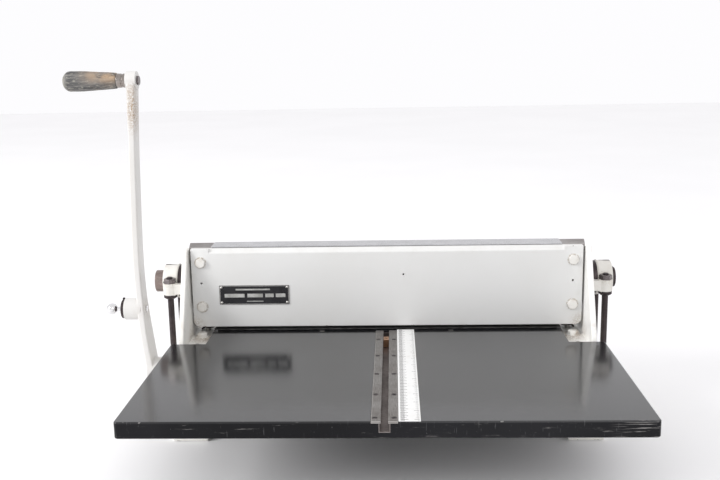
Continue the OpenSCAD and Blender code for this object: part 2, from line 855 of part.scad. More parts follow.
module trunnion_right() {
    color("gray") translate([0, 0, trunnion_z]) x_rod(trunnion_in, trunnion_out, trunnion_d / 2);
}

module trunnion_left() {
    color("gray") mirror([1, 0, 0]) translate([0, 0, trunnion_z])
        x_rod(trunnion_in, trunnion_out, trunnion_d / 2);
}

// Dark collars between the uprights and the yokes
module thrust_collars() {
    color([0.2, 0.19, 0.19]) both_sides() translate([0, 0, trunnion_z]) difference() {
        x_rod(collar_in, yoke_in - 0.1, collar_d / 2);
        x_rod(collar_in - 1, yoke_in + 1, trunnion_d / 2);
        for (y = [-rod_y, rod_y]) translate([rod_x, y, lug_z + lug_h - trunnion_z - 0.3])
            cylinder(h = nut_h + 4, d = nut_af / cos(30) + 0.8);
    }
}

// Upper yoke of the right side: boss on the trunnion and a rod lug before and behind it
module upper_yoke_shape() {
    difference() {
        union() {
            translate([0, 0, trunnion_z]) x_rod(yoke_in, yoke_out, yoke_d / 2);
            for (y = [-rod_y, rod_y]) translate([rod_x, y, lug_z]) cylinder(h = lug_h, r = lug_r);
            block([yoke_in, -rod_y, lug_z], [rod_x + lug_r - 3, rod_y, lug_z + lug_h]);
            for (y = [-1, 1]) translate([0, y * (rod_y + 1), 0])
                block([frame_out + 4, -6, lug_z + 1], [rod_x, 6, lug_z + lug_h - 1]);
        }
        translate([0, 0, trunnion_z]) x_rod(frame_out, yoke_out + 1, trunnion_d / 2);
        translate([0, 0, trunnion_z]) x_rod(frame_out, yoke_in, collar_d / 2 + 0.1);
        for (y = [-rod_y, rod_y]) translate([rod_x, y, lug_z - 1]) cylinder(h = 40, d = rod_d);
        for (y = [-rod_y, rod_y]) translate([rod_x, y, lug_z - rod_collar_h - 2])
            cylinder(h = rod_collar_h + 2, r = lug_r - 0.3);
        for (y = [-rod_y, rod_y]) translate([rod_x, y, lug_z + lug_h])
            cylinder(h = 40, d = nut_af / cos(30) + 1.5);
        translate([rod_x + 4, -1.2, trunnion_z + yoke_d / 2 - 1.5]) cube([10, 2.4, 4], center = false);
    }
}

module upper_yoke_right() {
    color("ivory") upper_yoke_shape();
}

module upper_yoke_left() {
    color("ivory") mirror([1, 0, 0]) upper_yoke_shape();
}

// Steel caps that keep the yokes on the trunnions: thick on the left, thin with a tab on the right
module yoke_cap_left() {
    color([0.38, 0.3, 0.29]) mirror([1, 0, 0]) translate([0, 0, trunnion_z]) difference() {
        x_rod(yoke_out + 0.1, yoke_out + 14, 16.2);
        x_rod(yoke_out - 1, trunnion_out + 0.05, trunnion_d / 2);
    }
}

module yoke_cap_right() {
    color([0.2, 0.19, 0.19]) translate([0, 0, trunnion_z]) {
        difference() {
            x_rod(yoke_out + 0.1, yoke_out + 6.5, trunnion_d / 2 + 2.5);
            x_rod(yoke_out - 1, trunnion_out + 0.05, trunnion_d / 2);
        }
        translate([0, -4, trunnion_d / 2 + 3]) x_rod(yoke_out + 0.1, yoke_out + 3, 2);
        block([yoke_out + 0.1, -5.5, trunnion_d / 2 - 0.5], [yoke_out + 2.4, -2.5, trunnion_d / 2 + 3]);
    }
}

module rod_places() {
    both_sides() for (y = [-rod_y, rod_y]) translate([rod_x, y, 0]) children();
}

module pull_rods() {
    bottom = strap_z - strap_lug_h / 2 - nut_h - 3;
    color([0.17, 0.16, 0.16]) rod_places() translate([0, 0, bottom])
        cylinder(h = lug_z + lug_h + nut_h + 2 - bottom, d = rod_d);
}

// Nuts above the upper lugs and on both sides of the lower ones
module rod_nuts() {
    color([0.17, 0.16, 0.16]) rod_places() for (z = [
        lug_z + lug_h, strap_z + strap_lug_h / 2, strap_z - strap_lug_h / 2 - nut_h
    ]) translate([0, 0, z]) difference() {
        hex(nut_af, nut_h - 0.1);
        translate([0, 0, -1]) cylinder(h = nut_h + 2, d = rod_d);
    }
}

// Round shoulder collars under the upper lugs
module rod_collars() {
    color([0.17, 0.16, 0.16]) rod_places() translate([0, 0, lug_z - rod_collar_h]) difference() {
        union() {
            translate([0, 0, 2]) cylinder(h = rod_collar_h - 2.1, r = lug_r - 0.5);
            cylinder(h = 2.01, r1 = lug_r - 3.5, r2 = lug_r - 0.5);
        }
        translate([0, 0, -1]) cylinder(h = rod_collar_h + 2, d = rod_d);
    }
}

// Lower yoke: the eccentric's strap, bored with play all round it
module lower_yoke_shape() {
    difference() {
        union() {
            translate([0, strap_y, strap_z]) x_rod(rod_x - strap_w / 2, rod_x + strap_w / 2, 31);
            block([rod_x - strap_w / 2, -rod_y - 10, strap_z - strap_lug_h / 2],
                [rod_x + strap_w / 2, rod_y + 10, strap_z + strap_lug_h / 2]);
        }
        translate([0, strap_y, strap_z]) x_rod(rod_x - strap_w, rod_x + strap_w, strap_bore_d / 2);
        for (y = [-rod_y, rod_y]) translate([rod_x, y, strap_z - 20]) cylinder(h = 40, d = rod_d);
        for (y = [-rod_y, rod_y], z = [strap_z + strap_lug_h / 2, strap_z - strap_lug_h / 2 - 30])
            translate([rod_x, y, z]) cylinder(h = 30, d = nut_af / cos(30) + 1);
    }
}

module lower_yoke_right() {
    color("ivory") lower_yoke_shape();
}

module lower_yoke_left() {
    color("ivory") mirror([1, 0, 0]) lower_yoke_shape();
}

// ---------------------------------------------------------------- shaft and lever

module eccentric_shaft() {
    color("gray") difference() {
        translate([0, 0, shaft_z]) x_rod(-shaft_end, eccentric_out + 9, shaft_d / 2);
        key_slots(0);
        lever_frame() x_rod(-shaft_end - 1, -shaft_end + 20, foot_bolt_d / 2);
    }
}

// Key beds in the shaft's crown, in the lever's frame so that they turn with it
module key_slots(grow) {
    lever_frame() {
        block([-shaft_end + 2, -key_w / 2 - grow, shaft_d / 2 - 3.5],
            [-hub_in - 2, key_w / 2 + grow, shaft_d / 2 + 1]);
        block([-eccentric_out, -key_w / 2 - grow, shaft_d / 2 - 3.5],
            [-eccentric_in, key_w / 2 + grow, shaft_d / 2 + 1]);
        block([eccentric_in, -key_w / 2 - grow, shaft_d / 2 - 3.5],
            [eccentric_out, key_w / 2 + grow, shaft_d / 2 + 1]);
    }
}

module shaft_keys() {
    color("silver") lever_frame() for (ends = [
        [-shaft_end + 2.1, -hub_in - 2.1], [-eccentric_out + 0.1, -eccentric_in - 0.1],
        [eccentric_in + 0.1, eccentric_out - 0.1]
    ]) block([ends[0], -key_w / 2 + 0.02, shaft_d / 2 - 3.45],
        [ends[1], key_w / 2 - 0.02, shaft_d / 2 + 2.4]);
}

// Eccentric of the right side, its centre one throw from the shaft's axis
module eccentric_shape() {
    difference() {
        translate([0, throw * cos(crank_rest), shaft_z + throw * sin(crank_rest)])
            x_rod(eccentric_in, eccentric_out, eccentric_d / 2);
        translate([0, 0, shaft_z]) x_rod(eccentric_in - 1, eccentric_out + 1, shaft_d / 2);
        lever_frame() block([eccentric_in - 1, -key_w / 2, shaft_d / 2 - 3.5],
            [eccentric_out + 1, key_w / 2, shaft_d / 2 + 2.5]);
    }
}

// Both eccentrics; the right one has a collar that closes the shaft's end
module eccentrics() {
    color("gray") {
        both_sides() eccentric_shape();
        translate([0, 0, shaft_z]) difference() {
            x_rod(eccentric_out - 0.1, eccentric_out + 8, 17);
            x_rod(eccentric_out - 1, eccentric_out + 9, shaft_d / 2);
        }
    }
}

// Collar on the shaft whose lug meets a pin at each end of the swing
module stop_collar() {
    color("gray") difference() {
        union() {
            translate([0, 0, shaft_z]) x_rod(-stop_out, -stop_in, 20);
            translate([0, 0, shaft_z]) rotate([lug_rest, 0, 0])
                block([-stop_out, 10, -lug_half], [-stop_in, lug_top_r, lug_half]);
        }
        translate([0, 0, shaft_z]) x_rod(-stop_out - 1, -stop_in + 1, shaft_d / 2);
    }
}

// Cast lever: bowed blade, hub, head and the plunger's boss
module lever() {
    steps = 22;
    reach = lever_reach;
    inner = [for (i = [0:steps]) let (s = reach * i / steps) [-latch_x(s) + blade_thick(s) / 2, s]];
    outer = [for (i = [steps:-1:0]) let (s = reach * i / steps) [-latch_x(s) - blade_thick(s) / 2, s]];
    color("ivory") lever_frame() difference() {
        union() {
            intersection() {
                translate([0, 60, 0]) rotate([90, 0, 0]) linear_extrude(height = 120)
                    polygon(concat(inner, outer));
                side_plate(-blade_x - 30, -blade_x + 60, [
                    [-blade_low_d / 2, 0], [-blade_low_d / 2, 58], [-blade_d / 2 - 1, 118],
                    [-blade_d / 2, reach], [blade_d / 2, reach], [blade_d / 2 + 1, 118],
                    [blade_low_d / 2, 58], [blade_low_d / 2, 0]
                ]);
            }
            x_rod(-hub_out, -hub_in, hub_r);
            translate([0, 0, reach]) x_rod(-head_x - head_t / 2, -head_x + head_t / 2, head_r);
            translate([0, 0, latch_s]) x_rod(-latch_face, -latch_x(latch_s), latch_r);
        }
        x_rod(-hub_out - 1, -hub_in + 1, shaft_d / 2);
        x_rod(-hub_out - 1, -shaft_end, washer_r + seat_gap);
        block([-hub_out - 1, -key_w / 2, shaft_d / 2 - 3.5], [-hub_in + 1, key_w / 2, shaft_d / 2 + 2.5]);
        translate([0, 0, reach]) x_rod(-head_x - head_t, -head_x + head_t, grip_bore);
        translate([0, 0, latch_s]) {
            x_rod(-latch_face - 1, -latch_x(latch_s) + blade_t, pin_r + run_clear);
            x_rod(-latch_face - 1, -chamber_floor, chamber_r);
        }
    }
}

// Washer and hexagon bolt in the shaft's left end, sunk in the lever's hub
module lever_end_bolt() {
    color("gray") lever_frame() {
        x_rod(-shaft_end - washer_t, -shaft_end - 0.05, washer_r);
        x_rod(-shaft_end - washer_t, -shaft_end + 15, foot_bolt_d / 2 - 0.05);
        translate([-shaft_end - washer_t - bolt_head, 0, 0]) rotate([0, 90, 0]) hex(bolt_af, bolt_head + 0.1);
    }
}

// Dark cap that closes the plunger's boss, with a small set screw in its rim
module latch_cap() {
    color([0.2, 0.19, 0.19]) lever_frame() translate([0, 0, latch_s]) {
        difference() {
            union() {
                x_rod(-latch_face - cap_t, -latch_face - 0.05, cap_r);
                x_rod(-latch_face - 0.1, -latch_face + 3, chamber_r - 0.05);
            }
            x_rod(-latch_face - cap_t - 1, -latch_face + 4, stem_r + run_clear);
        }
        translate([-latch_face - cap_t / 2, 0, cap_r - 1]) cylinder(h = 4, r = 2);
    }
}

// Plunger with its shoulder, stem and ball
module plunger() {
    tip = latch_x(latch_s) - blade_t / 2 - 1.2;
    shoulder = chamber_floor + seat_gap;
    ball_x = latch_face + cap_t + ball_r + latch_travel / 2 + 3.5;
    color("silver") lever_frame() translate([0, 0, latch_s]) {
        x_rod(-shoulder - 0.1, -tip, pin_r);
        x_rod(-shoulder - shoulder_t, -shoulder, shoulder_r);
        x_rod(-ball_x, -shoulder - 1, stem_r);
        translate([-ball_x, 0, 0]) sphere(r = ball_r);
    }
}

// Spring between the plunger's shoulder and the cap
module plunger_spring() {
    from = chamber_floor + seat_gap + shoulder_t + 0.05;
    to = latch_face - 3.05;
    color("gray") lever_frame() translate([-to, 0, latch_s]) rotate([0, 90, 0])
        coil(6.6, 1.2, 6, to - from, 12, 6);
}

// Fixed steel spindle through the lever's head
module grip_spindle() {
    color("gray") lever_frame() translate([0, 0, lever_reach]) {
        x_rod(-grip_start - ferrule_len - grip_len + 14, -spindle_seat + 0.1, spindle_r);
        x_rod(-spindle_seat, -spindle_seat + 2.5, 6.5);
        x_rod(-grip_start + 0.05, -head_x - head_t / 2, 7.5);
    }
}

// Shape turned about the grip's axis, starting at the grip's inner end
module grip_turning(profile) {
    lever_frame() translate([-grip_start, 0, lever_reach]) rotate([0, -90, 0])
        rotate_extrude($fn = 64) polygon(profile);
}

// Wooden grip, swelling towards a domed end, with a blind bore for the spindle
module wooden_grip() {
    r0 = grip_neck_d / 2;
    r1 = grip_d / 2;
    dome = r1 * 0.8;
    body = grip_len - dome;
    bore_end = ferrule_len + grip_len - 13.5;
    color([0.36, 0.29, 0.22]) grip_turning(concat(
        [[grip_bore, ferrule_len]],
        [for (i = [0:8]) [r0 + (r1 - r0) * sin(90 * i / 8), ferrule_len + body * i / 8]],
        [for (i = [1:9]) [r1 * cos(10 * i), ferrule_len + body + dome * sin(10 * i)]],
        [[0, bore_end], [grip_bore, bore_end]]
    ));
}

// Steel ferrule pressed on the grip's neck, with one turned groove
module grip_ferrule() {
    r = grip_neck_d / 2 - 1.5;
    groove = 0.6;
    color("gray") grip_turning([
        [grip_bore, 0], [r, 0], [r, 4], [r - groove, 4 + groove], [r - groove, 6.4], [r, 6.4 + groove],
        [r, ferrule_len - 0.05], [grip_bore, ferrule_len - 0.05]
    ]);
}

// ---------------------------------------------------------------- nodes

leg_left();
leg_right();
base_ties();
shaft_bushes();
stop_pins();
die_bed();
bed_bolts();
die_plate();
stripper_plate();
stripper_screws();
upright_left();
upright_right();
foot_bolts();
foot_dowels();
crown_bar();
crown_screws();
tie_rod();
tie_rod_nuts();
return_springs();
spring_pins();
table_board();
table_arms();
table_screws();
slot_channel();
slot_strips();
strip_screws();
scale_rule();
gauge_slider();
ram_beam();
face_plate();
face_bolts();
top_plate();
name_plate();
plate_rivets();
punch_holder();
punches();
trunnion_left();
trunnion_right();
thrust_collars();
upper_yoke_left();
upper_yoke_right();
yoke_cap_left();
yoke_cap_right();
pull_rods();
rod_nuts();
rod_collars();
lower_yoke_left();
lower_yoke_right();
eccentric_shaft();
eccentrics();
shaft_keys();
stop_collar();
lever();
lever_end_bolt();
latch_cap();
grip_spindle();
plunger();
plunger_spring();
wooden_grip();
grip_ferrule();
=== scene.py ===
"""Looks of a bench-top lever press for paper holes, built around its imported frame.

Lengths are in metres, in the frame's axes: X runs along the ram, Y away from the
operator and Z up. The bench is at Z = 0 and the eccentric shaft lies in the plane Y = 0.
"""

from __future__ import annotations

import logging
import math
from dataclasses import dataclass, replace
from enum import Enum
from typing import Any, Callable, Iterable, Sequence

import bpy
from mathutils import Matrix, Vector

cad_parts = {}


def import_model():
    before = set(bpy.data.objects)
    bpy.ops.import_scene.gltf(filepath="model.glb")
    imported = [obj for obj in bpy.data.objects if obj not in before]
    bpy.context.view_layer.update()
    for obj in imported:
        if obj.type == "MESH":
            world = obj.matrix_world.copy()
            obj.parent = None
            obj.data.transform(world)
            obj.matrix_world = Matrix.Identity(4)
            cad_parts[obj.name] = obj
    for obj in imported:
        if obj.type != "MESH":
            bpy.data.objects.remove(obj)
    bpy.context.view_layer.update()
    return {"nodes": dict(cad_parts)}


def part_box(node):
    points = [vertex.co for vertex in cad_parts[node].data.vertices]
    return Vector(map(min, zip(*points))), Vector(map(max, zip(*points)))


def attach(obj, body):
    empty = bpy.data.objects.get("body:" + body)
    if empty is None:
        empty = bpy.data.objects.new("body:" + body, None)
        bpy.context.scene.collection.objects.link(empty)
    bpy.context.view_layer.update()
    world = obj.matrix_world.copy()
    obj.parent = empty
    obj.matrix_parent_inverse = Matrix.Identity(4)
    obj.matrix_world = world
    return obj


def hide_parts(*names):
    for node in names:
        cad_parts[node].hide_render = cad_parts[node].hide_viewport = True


LOG = logging.getLogger("punch_press")
MM = 0.001
NEAR = 1e-5

Colour = tuple[float, float, float]
Point = Sequence[float]


class Axis(Enum):
    """A direction that a rod or a turned piece runs along."""

    X = "X"
    Y = "Y"
    Z = "Z"


class Side(Enum):
    """The lever's side of the machine and the other one."""

    LEFT = -1
    RIGHT = 1

    @property
    def word(self) -> str:
        """The side's name in node names."""
        return self.name.lower()


# ---------------------------------------------------------------- shader maths


class Sock:
    """A shader value: sums and products of it add Math nodes."""

    def __init__(self, dress: "Dress", link: Any) -> None:
        """Wraps a socket.

        Args:
            dress: The material that the socket belongs to.
            link: The output socket.
        """
        self.dress = dress
        self.link = link

    def _math(self, operation: str, *values: Any) -> "Sock":
        """Adds one Math node and returns its result."""
        inputs = {i: v for i, v in enumerate(values)}
        return self.dress.node("ShaderNodeMath", {"operation": operation}, inputs)

    def __add__(self, other: Any) -> "Sock":
        """This plus another."""
        return self._math("ADD", self, other)

    def __sub__(self, other: Any) -> "Sock":
        """This less another."""
        return self._math("SUBTRACT", self, other)

    def __rsub__(self, other: Any) -> "Sock":
        """Another less this."""
        return self._math("SUBTRACT", other, self)

    def __mul__(self, other: Any) -> "Sock":
        """This times another."""
        return self._math("MULTIPLY", self, other)

    def __truediv__(self, other: Any) -> "Sock":
        """This over another."""
        return self._math("DIVIDE", self, other)

    def __pow__(self, other: Any) -> "Sock":
        """This to the power of another."""
        return self._math("POWER", self, other)

    def __lt__(self, other: Any) -> "Sock":
        """1 where this is less than another, else 0."""
        return self._math("LESS_THAN", self, other)

    def __gt__(self, other: Any) -> "Sock":
        """1 where this is more than another, else 0."""
        return self._math("GREATER_THAN", self, other)

    __radd__ = __add__
    __rmul__ = __mul__

    def __abs__(self) -> "Sock":
        """The value without its sign."""
        return self._math("ABSOLUTE", self)

    def low(self, other: Any) -> "Sock":
        """The smaller of this and another."""
        return self._math("MINIMUM", self, other)

    def high(self, other: Any) -> "Sock":
        """The larger of this and another."""
        return self._math("MAXIMUM", self, other)

    def fract(self) -> "Sock":
        """The part after the decimal point."""
        return self._math("FRACT", self)

    def sine(self) -> "Sock":
        """The sine of the value, in radians."""
        return self._math("SINE", self)

    def fade(self, start: float, end: float) -> "Sock":
        """0 at start and 1 at end, with a soft step between them.

        Args:
            start: Value that gives 0.
            end: Value that gives 1; it may be less than start.

        Returns:
            The mask, from 0 to 1.
        """
        values = {0: self, 1: start, 2: end, 3: 0.0, 4: 1.0}
        settings = {"interpolation_type": "SMOOTHSTEP", "clamp": True}
        return self.dress.node("ShaderNodeMapRange", settings, values)


class Dress:
    """The node tree of one material, around one Principled surface."""

    def __init__(self, name: str) -> None:
        """Starts a material.

        Args:
            name: The material's name.
        """
        self.material = bpy.data.materials.new(name)
        self.material.use_nodes = True
        self.tree = self.material.node_tree
        self.tree.nodes.clear()
        self.surface = self.tree.nodes.new("ShaderNodeBsdfPrincipled")
        output = self.tree.nodes.new("ShaderNodeOutputMaterial")
        self.tree.links.new(self.surface.outputs[0], output.inputs["Surface"])
        coordinates = self.tree.nodes.new("ShaderNodeTexCoord")
        self.place = Sock(self, coordinates.outputs["Object"])
        parts = self.tree.nodes.new("ShaderNodeSeparateXYZ")
        self.tree.links.new(self.place.link, parts.inputs[0])
        self.x, self.y, self.z = (Sock(self, out) for out in parts.outputs)

    def _feed(self, socket: Any, value: Any) -> None:
        """Sets a socket's value, or links it."""
        if isinstance(value, Sock):
            self.tree.links.new(value.link, socket)
        elif socket.type == "RGBA" and len(value) == 3:
            socket.default_value = (*value, 1.0)
        else:
            socket.default_value = value

    def node(self, kind: str, settings: dict[str, Any], inputs: dict[Any, Any], output: Any = 0) -> Sock:
        """Adds any node.

        Args:
            kind: The node's type.
            settings: Its settings, or a colour ramp's "stops".
            inputs: Values or links by socket name or number.
            output: Which output is returned.

        Returns:
            The chosen output.
        """
        made = self.tree.nodes.new(kind)
        for key, value in settings.items():
            if key == "stops":
                ramp = made.color_ramp
                while len(ramp.elements) < len(value):
                    ramp.elements.new(0.5)
                for element, (position, colour) in zip(ramp.elements, value):
                    element.position = position
                    element.color = (*colour, 1.0)
            else:
                setattr(made, key, value)
        for key, value in inputs.items():
            self._feed(made.inputs[key], value)
        return Sock(self, made.outputs[output])

    def stretched(self, scale: Point) -> Sock:
        """The place on the piece with each axis scaled, for grain and brush marks."""
        return self.node("ShaderNodeMapping", {}, {"Vector": self.place, "Scale": tuple(scale)})

    def noise(
        self, scale: float, detail: float = 3.0, rough: float = 0.55, stretch: Point | None = None
    ) -> Sock:
        """Smooth noise, mostly between 0.3 and 0.7.

        Args:
            scale: Features per metre.
            detail: Number of finer layers.
            rough: Strength of the finer layers.
            stretch: Scale of each axis, if the noise runs along one.

        Returns:
            The noise.
        """
        place = self.place if stretch is None else self.stretched(stretch)
        inputs = {"Vector": place, "Scale": scale, "Detail": detail, "Roughness": rough}
        return self.node("ShaderNodeTexNoise", {}, inputs)

    def mix(self, factor: Any, first: Any, second: Any) -> Sock:
        """Blends two colours.

        Args:
            factor: 0 gives the first and 1 the second.
            first: Colour or link.
            second: Colour or link.

        Returns:
            The blend.
        """
        made = self.tree.nodes.new("ShaderNodeMix")
        made.data_type = "RGBA"
        self._feed(made.inputs[0], factor)
        self._feed(made.inputs[6], first)
        self._feed(made.inputs[7], second)
        return Sock(self, made.outputs[2])

    def away(self, centre: Point, stretch: Point = (1, 1, 1)) -> Sock:
        """Distance from a point, with each axis weighted."""
        total = None
        for value, middle, weight in zip((self.x, self.y, self.z), centre, stretch):
            if weight:
                part = ((value - middle) * weight) ** 2
                total = part if total is None else total + part
        return total ** 0.5

    def edge(self, lo: Point, hi: Point) -> Sock:
        """Distance from the nearest edge of a box, measured on its faces."""
        near = [
            (value - low).low(high - value)
            for value, low, high in zip((self.x, self.y, self.z), lo, hi)
        ]
        small, large = near[0].low(near[1]), near[0].high(near[1])
        return small.high(large.low(near[2]))

    def bump(self, height: Sock, depth: float, strength: float = 1.0) -> Sock:
        """A normal from a height.

        Args:
            height: Height, from 0 to 1.
            depth: Depth of height 1 in metres.
            strength: How much of it shows.

        Returns:
            The normal.
        """
        inputs = {"Height": height, "Distance": depth, "Strength": strength}
        return self.node("ShaderNodeBump", {}, inputs)

    def finish(self, **sockets: Any) -> bpy.types.Material:
        """Feeds the surface; Base_Color stands for the socket Base Color.

        Args:
            **sockets: Values or links of the surface's sockets.

        Returns:
            The finished material.
        """
        for name, value in sockets.items():
            self._feed(self.surface.inputs[name.replace("_", " ")], value)
        return self.material


# ---------------------------------------------------------------- finishes


@dataclass(frozen=True)
class Patch:
    """A soft-edged stain or worn spot at one place, or a ring of painted shadow round it."""

    centre: tuple[float, float, float]
    reach: float
    stretch: tuple[float, float, float] = (1, 1, 1)
    strength: float = 1.0
    # Radius of a ring of painted shadow round the centre, or 0 for a plain spot.
    ring: float = 0.0

    def mask(self, dress: Dress) -> Sock:
        """The spot's strength over the surface, from 0 to 1."""
        away = dress.away(self.centre, self.stretch)
        # A ring darkens only a thin band at that radius: painted shadow round a bolt head.
        if self.ring:
            away = abs(away - self.ring)
        return away.fade(self.reach, 0.0) * self.strength


@dataclass(frozen=True)
class Enamel:
    """Old brushed enamel on iron: yellowed patches, pits, grime, chipped edges, and any listed stains, worn
    spots or rings of painted shadow.
    """

    colour: Colour = (0.84, 0.83, 0.795)
    aged: Colour = (0.77, 0.74, 0.67)
    # Colour of grime, stains and worn patches, and of the rings of painted shadow.
    dirt: Colour = (0.36, 0.29, 0.21)
    metal: Colour = (0.14, 0.11, 0.09)
    roughness: float = 0.36
    pits: float = 0.22
    grime: float = 0.25
    chips: float = 1.0
    wear: tuple[Patch, ...] = ()

    def material(self, name: str, lo: Point, hi: Point) -> bpy.types.Material:
        """Makes the enamel for one piece.

        Args:
            name: The material's name.
            lo: Lowest corner of the piece, where edges chip.
            hi: Highest corner.

        Returns:
            The material.
        """
        dress = Dress(name)
        cloud = dress.noise(9.0, 4.0)
        fine = dress.noise(900.0, 2.0)
        orange = dress.noise(260.0, 2.0)
        specks = dress.noise(420.0, 3.0, 0.7).fade(0.655, 0.72)
        edge = dress.edge(lo, hi)
        ragged = dress.noise(170.0, 5.0, 0.65)
        chip = (edge.fade(2.2 * MM, 0.0) * ragged.fade(0.58, 0.67)).fade(0.30, 0.50) * self.chips
        soil = edge.fade(16 * MM, 0.0) * dress.noise(60.0, 4.0, 0.6).fade(0.42, 0.72) * self.grime
        stain = (soil + specks * self.pits).low(1.0)
        colour = dress.mix(cloud.fade(0.38, 0.68), self.colour, self.aged)
        colour = dress.mix(0.45, self.colour, colour)
        colour = dress.mix(stain * 0.75, colour, self.dirt)
        crumbs = dress.noise(420.0, 5.0, 0.78).fade(0.40, 0.58)
        # Each patch darkens the paint: real stains and worn spots, and on the face plate rings of painted
        # shadow round the bolt heads.
        for patch in self.wear:
            torn = patch.mask(dress) * crumbs
            colour = dress.mix(torn, colour, self.dirt)
        colour = dress.mix(chip, colour, self.metal)
        rough = stain * 0.25 + cloud * 0.12 + (self.roughness - 0.06) + chip * 0.2
        relief = orange * 0.5 + fine * 0.12 - specks * 0.8 - chip * 1.2
        normal = dress.bump(relief, 0.22 * MM, 0.55)
        return dress.finish(Base_Color=colour, Roughness=rough, Normal=normal, Coat_Roughness=0.15)


@dataclass(frozen=True)
class Lacquer:
    """Semi-gloss black lacquer with dust, rubbed ways and chipped front edges."""

    colour: Colour = (0.005, 0.005, 0.006)
    rubbed: Colour = (0.012, 0.012, 0.014)
    bare: Colour = (0.30, 0.29, 0.28)
    roughness: float = 0.17

    def material(self, name: str, lo: Point, hi: Point) -> bpy.types.Material:
        """Makes the lacquer for a board.

        Args:
            name: The material's name.
            lo: Lowest corner of the board.
            hi: Highest corner.

        Returns:
            The material.
        """
        dress = Dress(name)
        cloud = dress.noise(5.0, 3.0)
        smear = dress.noise(22.0, 4.0, 0.6, (0.35, 1.0, 1.0))
        scratch = dress.noise(60.0, 2.0, 0.5, (14.0, 0.7, 1.0)).fade(0.69, 0.73)
        dust = dress.noise(700.0, 2.0).fade(0.745, 0.80)
        edge = dress.edge(lo, hi)
        ragged = dress.noise(120.0, 6.0, 0.72)
        chip = (edge.fade(2.4 * MM, 0.0) * ragged.fade(0.60, 0.72)).fade(0.25, 0.45)
        front = dress.y.fade(lo[1] + 3 * MM, lo[1] + 1 * MM) * 0.9
        nicks = front * dress.noise(110.0, 5.0, 0.75, (0.25, 1.0, 2.4)).fade(0.60, 0.70)
        right = dress.x.fade(hi[0] - 60 * MM, hi[0] - 8 * MM)
        scrape = front * right * dress.noise(75.0, 4.0, 0.6, (0.3, 1.0, 8.0)).fade(0.53, 0.60)
        worn = (chip * 0.7 + nicks * 0.35 + scrape * 0.9).low(1.0)
        colour = dress.mix(cloud.fade(0.35, 0.7), self.colour, self.rubbed)
        colour = dress.mix(dust * 0.55 + scratch * 0.12, colour, (0.42, 0.42, 0.43))
        colour = dress.mix(worn, colour, self.bare)
        rough = smear * 0.10 + (self.roughness - 0.05) + worn * 0.35 + dust * 0.3
        coat = dress.z.fade(hi[2] - 2.5 * MM, hi[2] - 0.5 * MM) * (0.84 - worn * 0.6) + 0.03
        relief = dress.noise(30.0, 2.0) * 0.6 - worn * 1.0 + dress.noise(1200.0, 1.0) * 0.05
        normal = dress.bump(relief, 0.20 * MM, 0.30)
        return dress.finish(
            Base_Color=colour, Roughness=rough, Normal=normal, Coat_Weight=coat,
            Specular_IOR_Level=0.12, Coat_Roughness=0.13,
        )


@dataclass(frozen=True)
class Steel:
    """Bare machined steel, with a brown oil film, rust spots and cutter marks."""

    colour: Colour = (0.42, 0.385, 0.355)
    film: Colour = (0.16, 0.12, 0.095)
    roughness: float = 0.38
    marks: tuple[float, float, float] = (0.06, 1.0, 1.0)
    oil: float = 0.5
    metallic: float = 0.85
    polish: float = 0.5

    def material(self, name: str, lo: Point, hi: Point) -> bpy.types.Material:
        """Makes the steel for one piece.

        Args:
            name: The material's name.
            lo: Lowest corner of the piece, whose edges are polished by use.
            hi: Highest corner.

        Returns:
            The material.
        """
        dress = Dress(name)
        brush = dress.noise(1500.0, 3.0, 0.6, self.marks)
        cloud = dress.noise(26.0, 5.0, 0.62)
        spots = dress.noise(230.0, 4.0, 0.7).fade(0.60, 0.68)
        polish = dress.edge(lo, hi).fade(1.2 * MM, 0.0) * self.polish
        film = (cloud.fade(0.38, 0.64) * self.oil + spots * 0.5 * self.oil).low(1.0)
        colour = dress.mix(film, self.colour, self.film)
        colour = dress.mix(brush.fade(0.35, 0.7) * 0.22, colour, (0.62, 0.60, 0.58))
        colour = dress.mix(polish, colour, (0.66, 0.64, 0.62))
        rough = film * 0.22 + brush * 0.16 + (self.roughness - 0.10) - polish * 0.12
        metal = self.metallic - film * 0.35
        normal = dress.bump(brush * 0.6 + spots * -0.8, 0.05 * MM, 0.5)
        return dress.finish(Base_Color=colour, Roughness=rough, Metallic=metal, Normal=normal)


@dataclass(frozen=True)
class Turned:
    """Smooth turned metal: fine rings, a tint and worn edges."""

    colour: Colour
    shade: Colour
    roughness: float = 0.3
    metallic: float = 1.0
    cloudy: float = 0.5

    def material(self, name: str, lo: Point, hi: Point) -> bpy.types.Material:
        """Makes the metal for one piece.

        Args:
            name: The material's name.
            lo: Lowest corner of the piece.
            hi: Highest corner.

        Returns:
            The material.
        """
        dress = Dress(name)
        cloud = dress.noise(75.0, 5.0, 0.62)
        grit = dress.noise(1400.0, 2.0)
        polish = dress.edge(lo, hi).fade(1.0 * MM, 0.0) * 0.35
        colour = dress.mix(cloud.fade(0.36, 0.66) * self.cloudy, self.colour, self.shade)
        colour = dress.mix(polish * grit.fade(0.4, 0.6), colour, (0.6, 0.58, 0.56))
        rough = cloud * 0.16 + grit * 0.08 + (self.roughness - 0.10)
        normal = dress.bump(grit + cloud * 0.5, 0.03 * MM, 0.4)
        return dress.finish(Base_Color=colour, Roughness=rough, Metallic=self.metallic, Normal=normal)


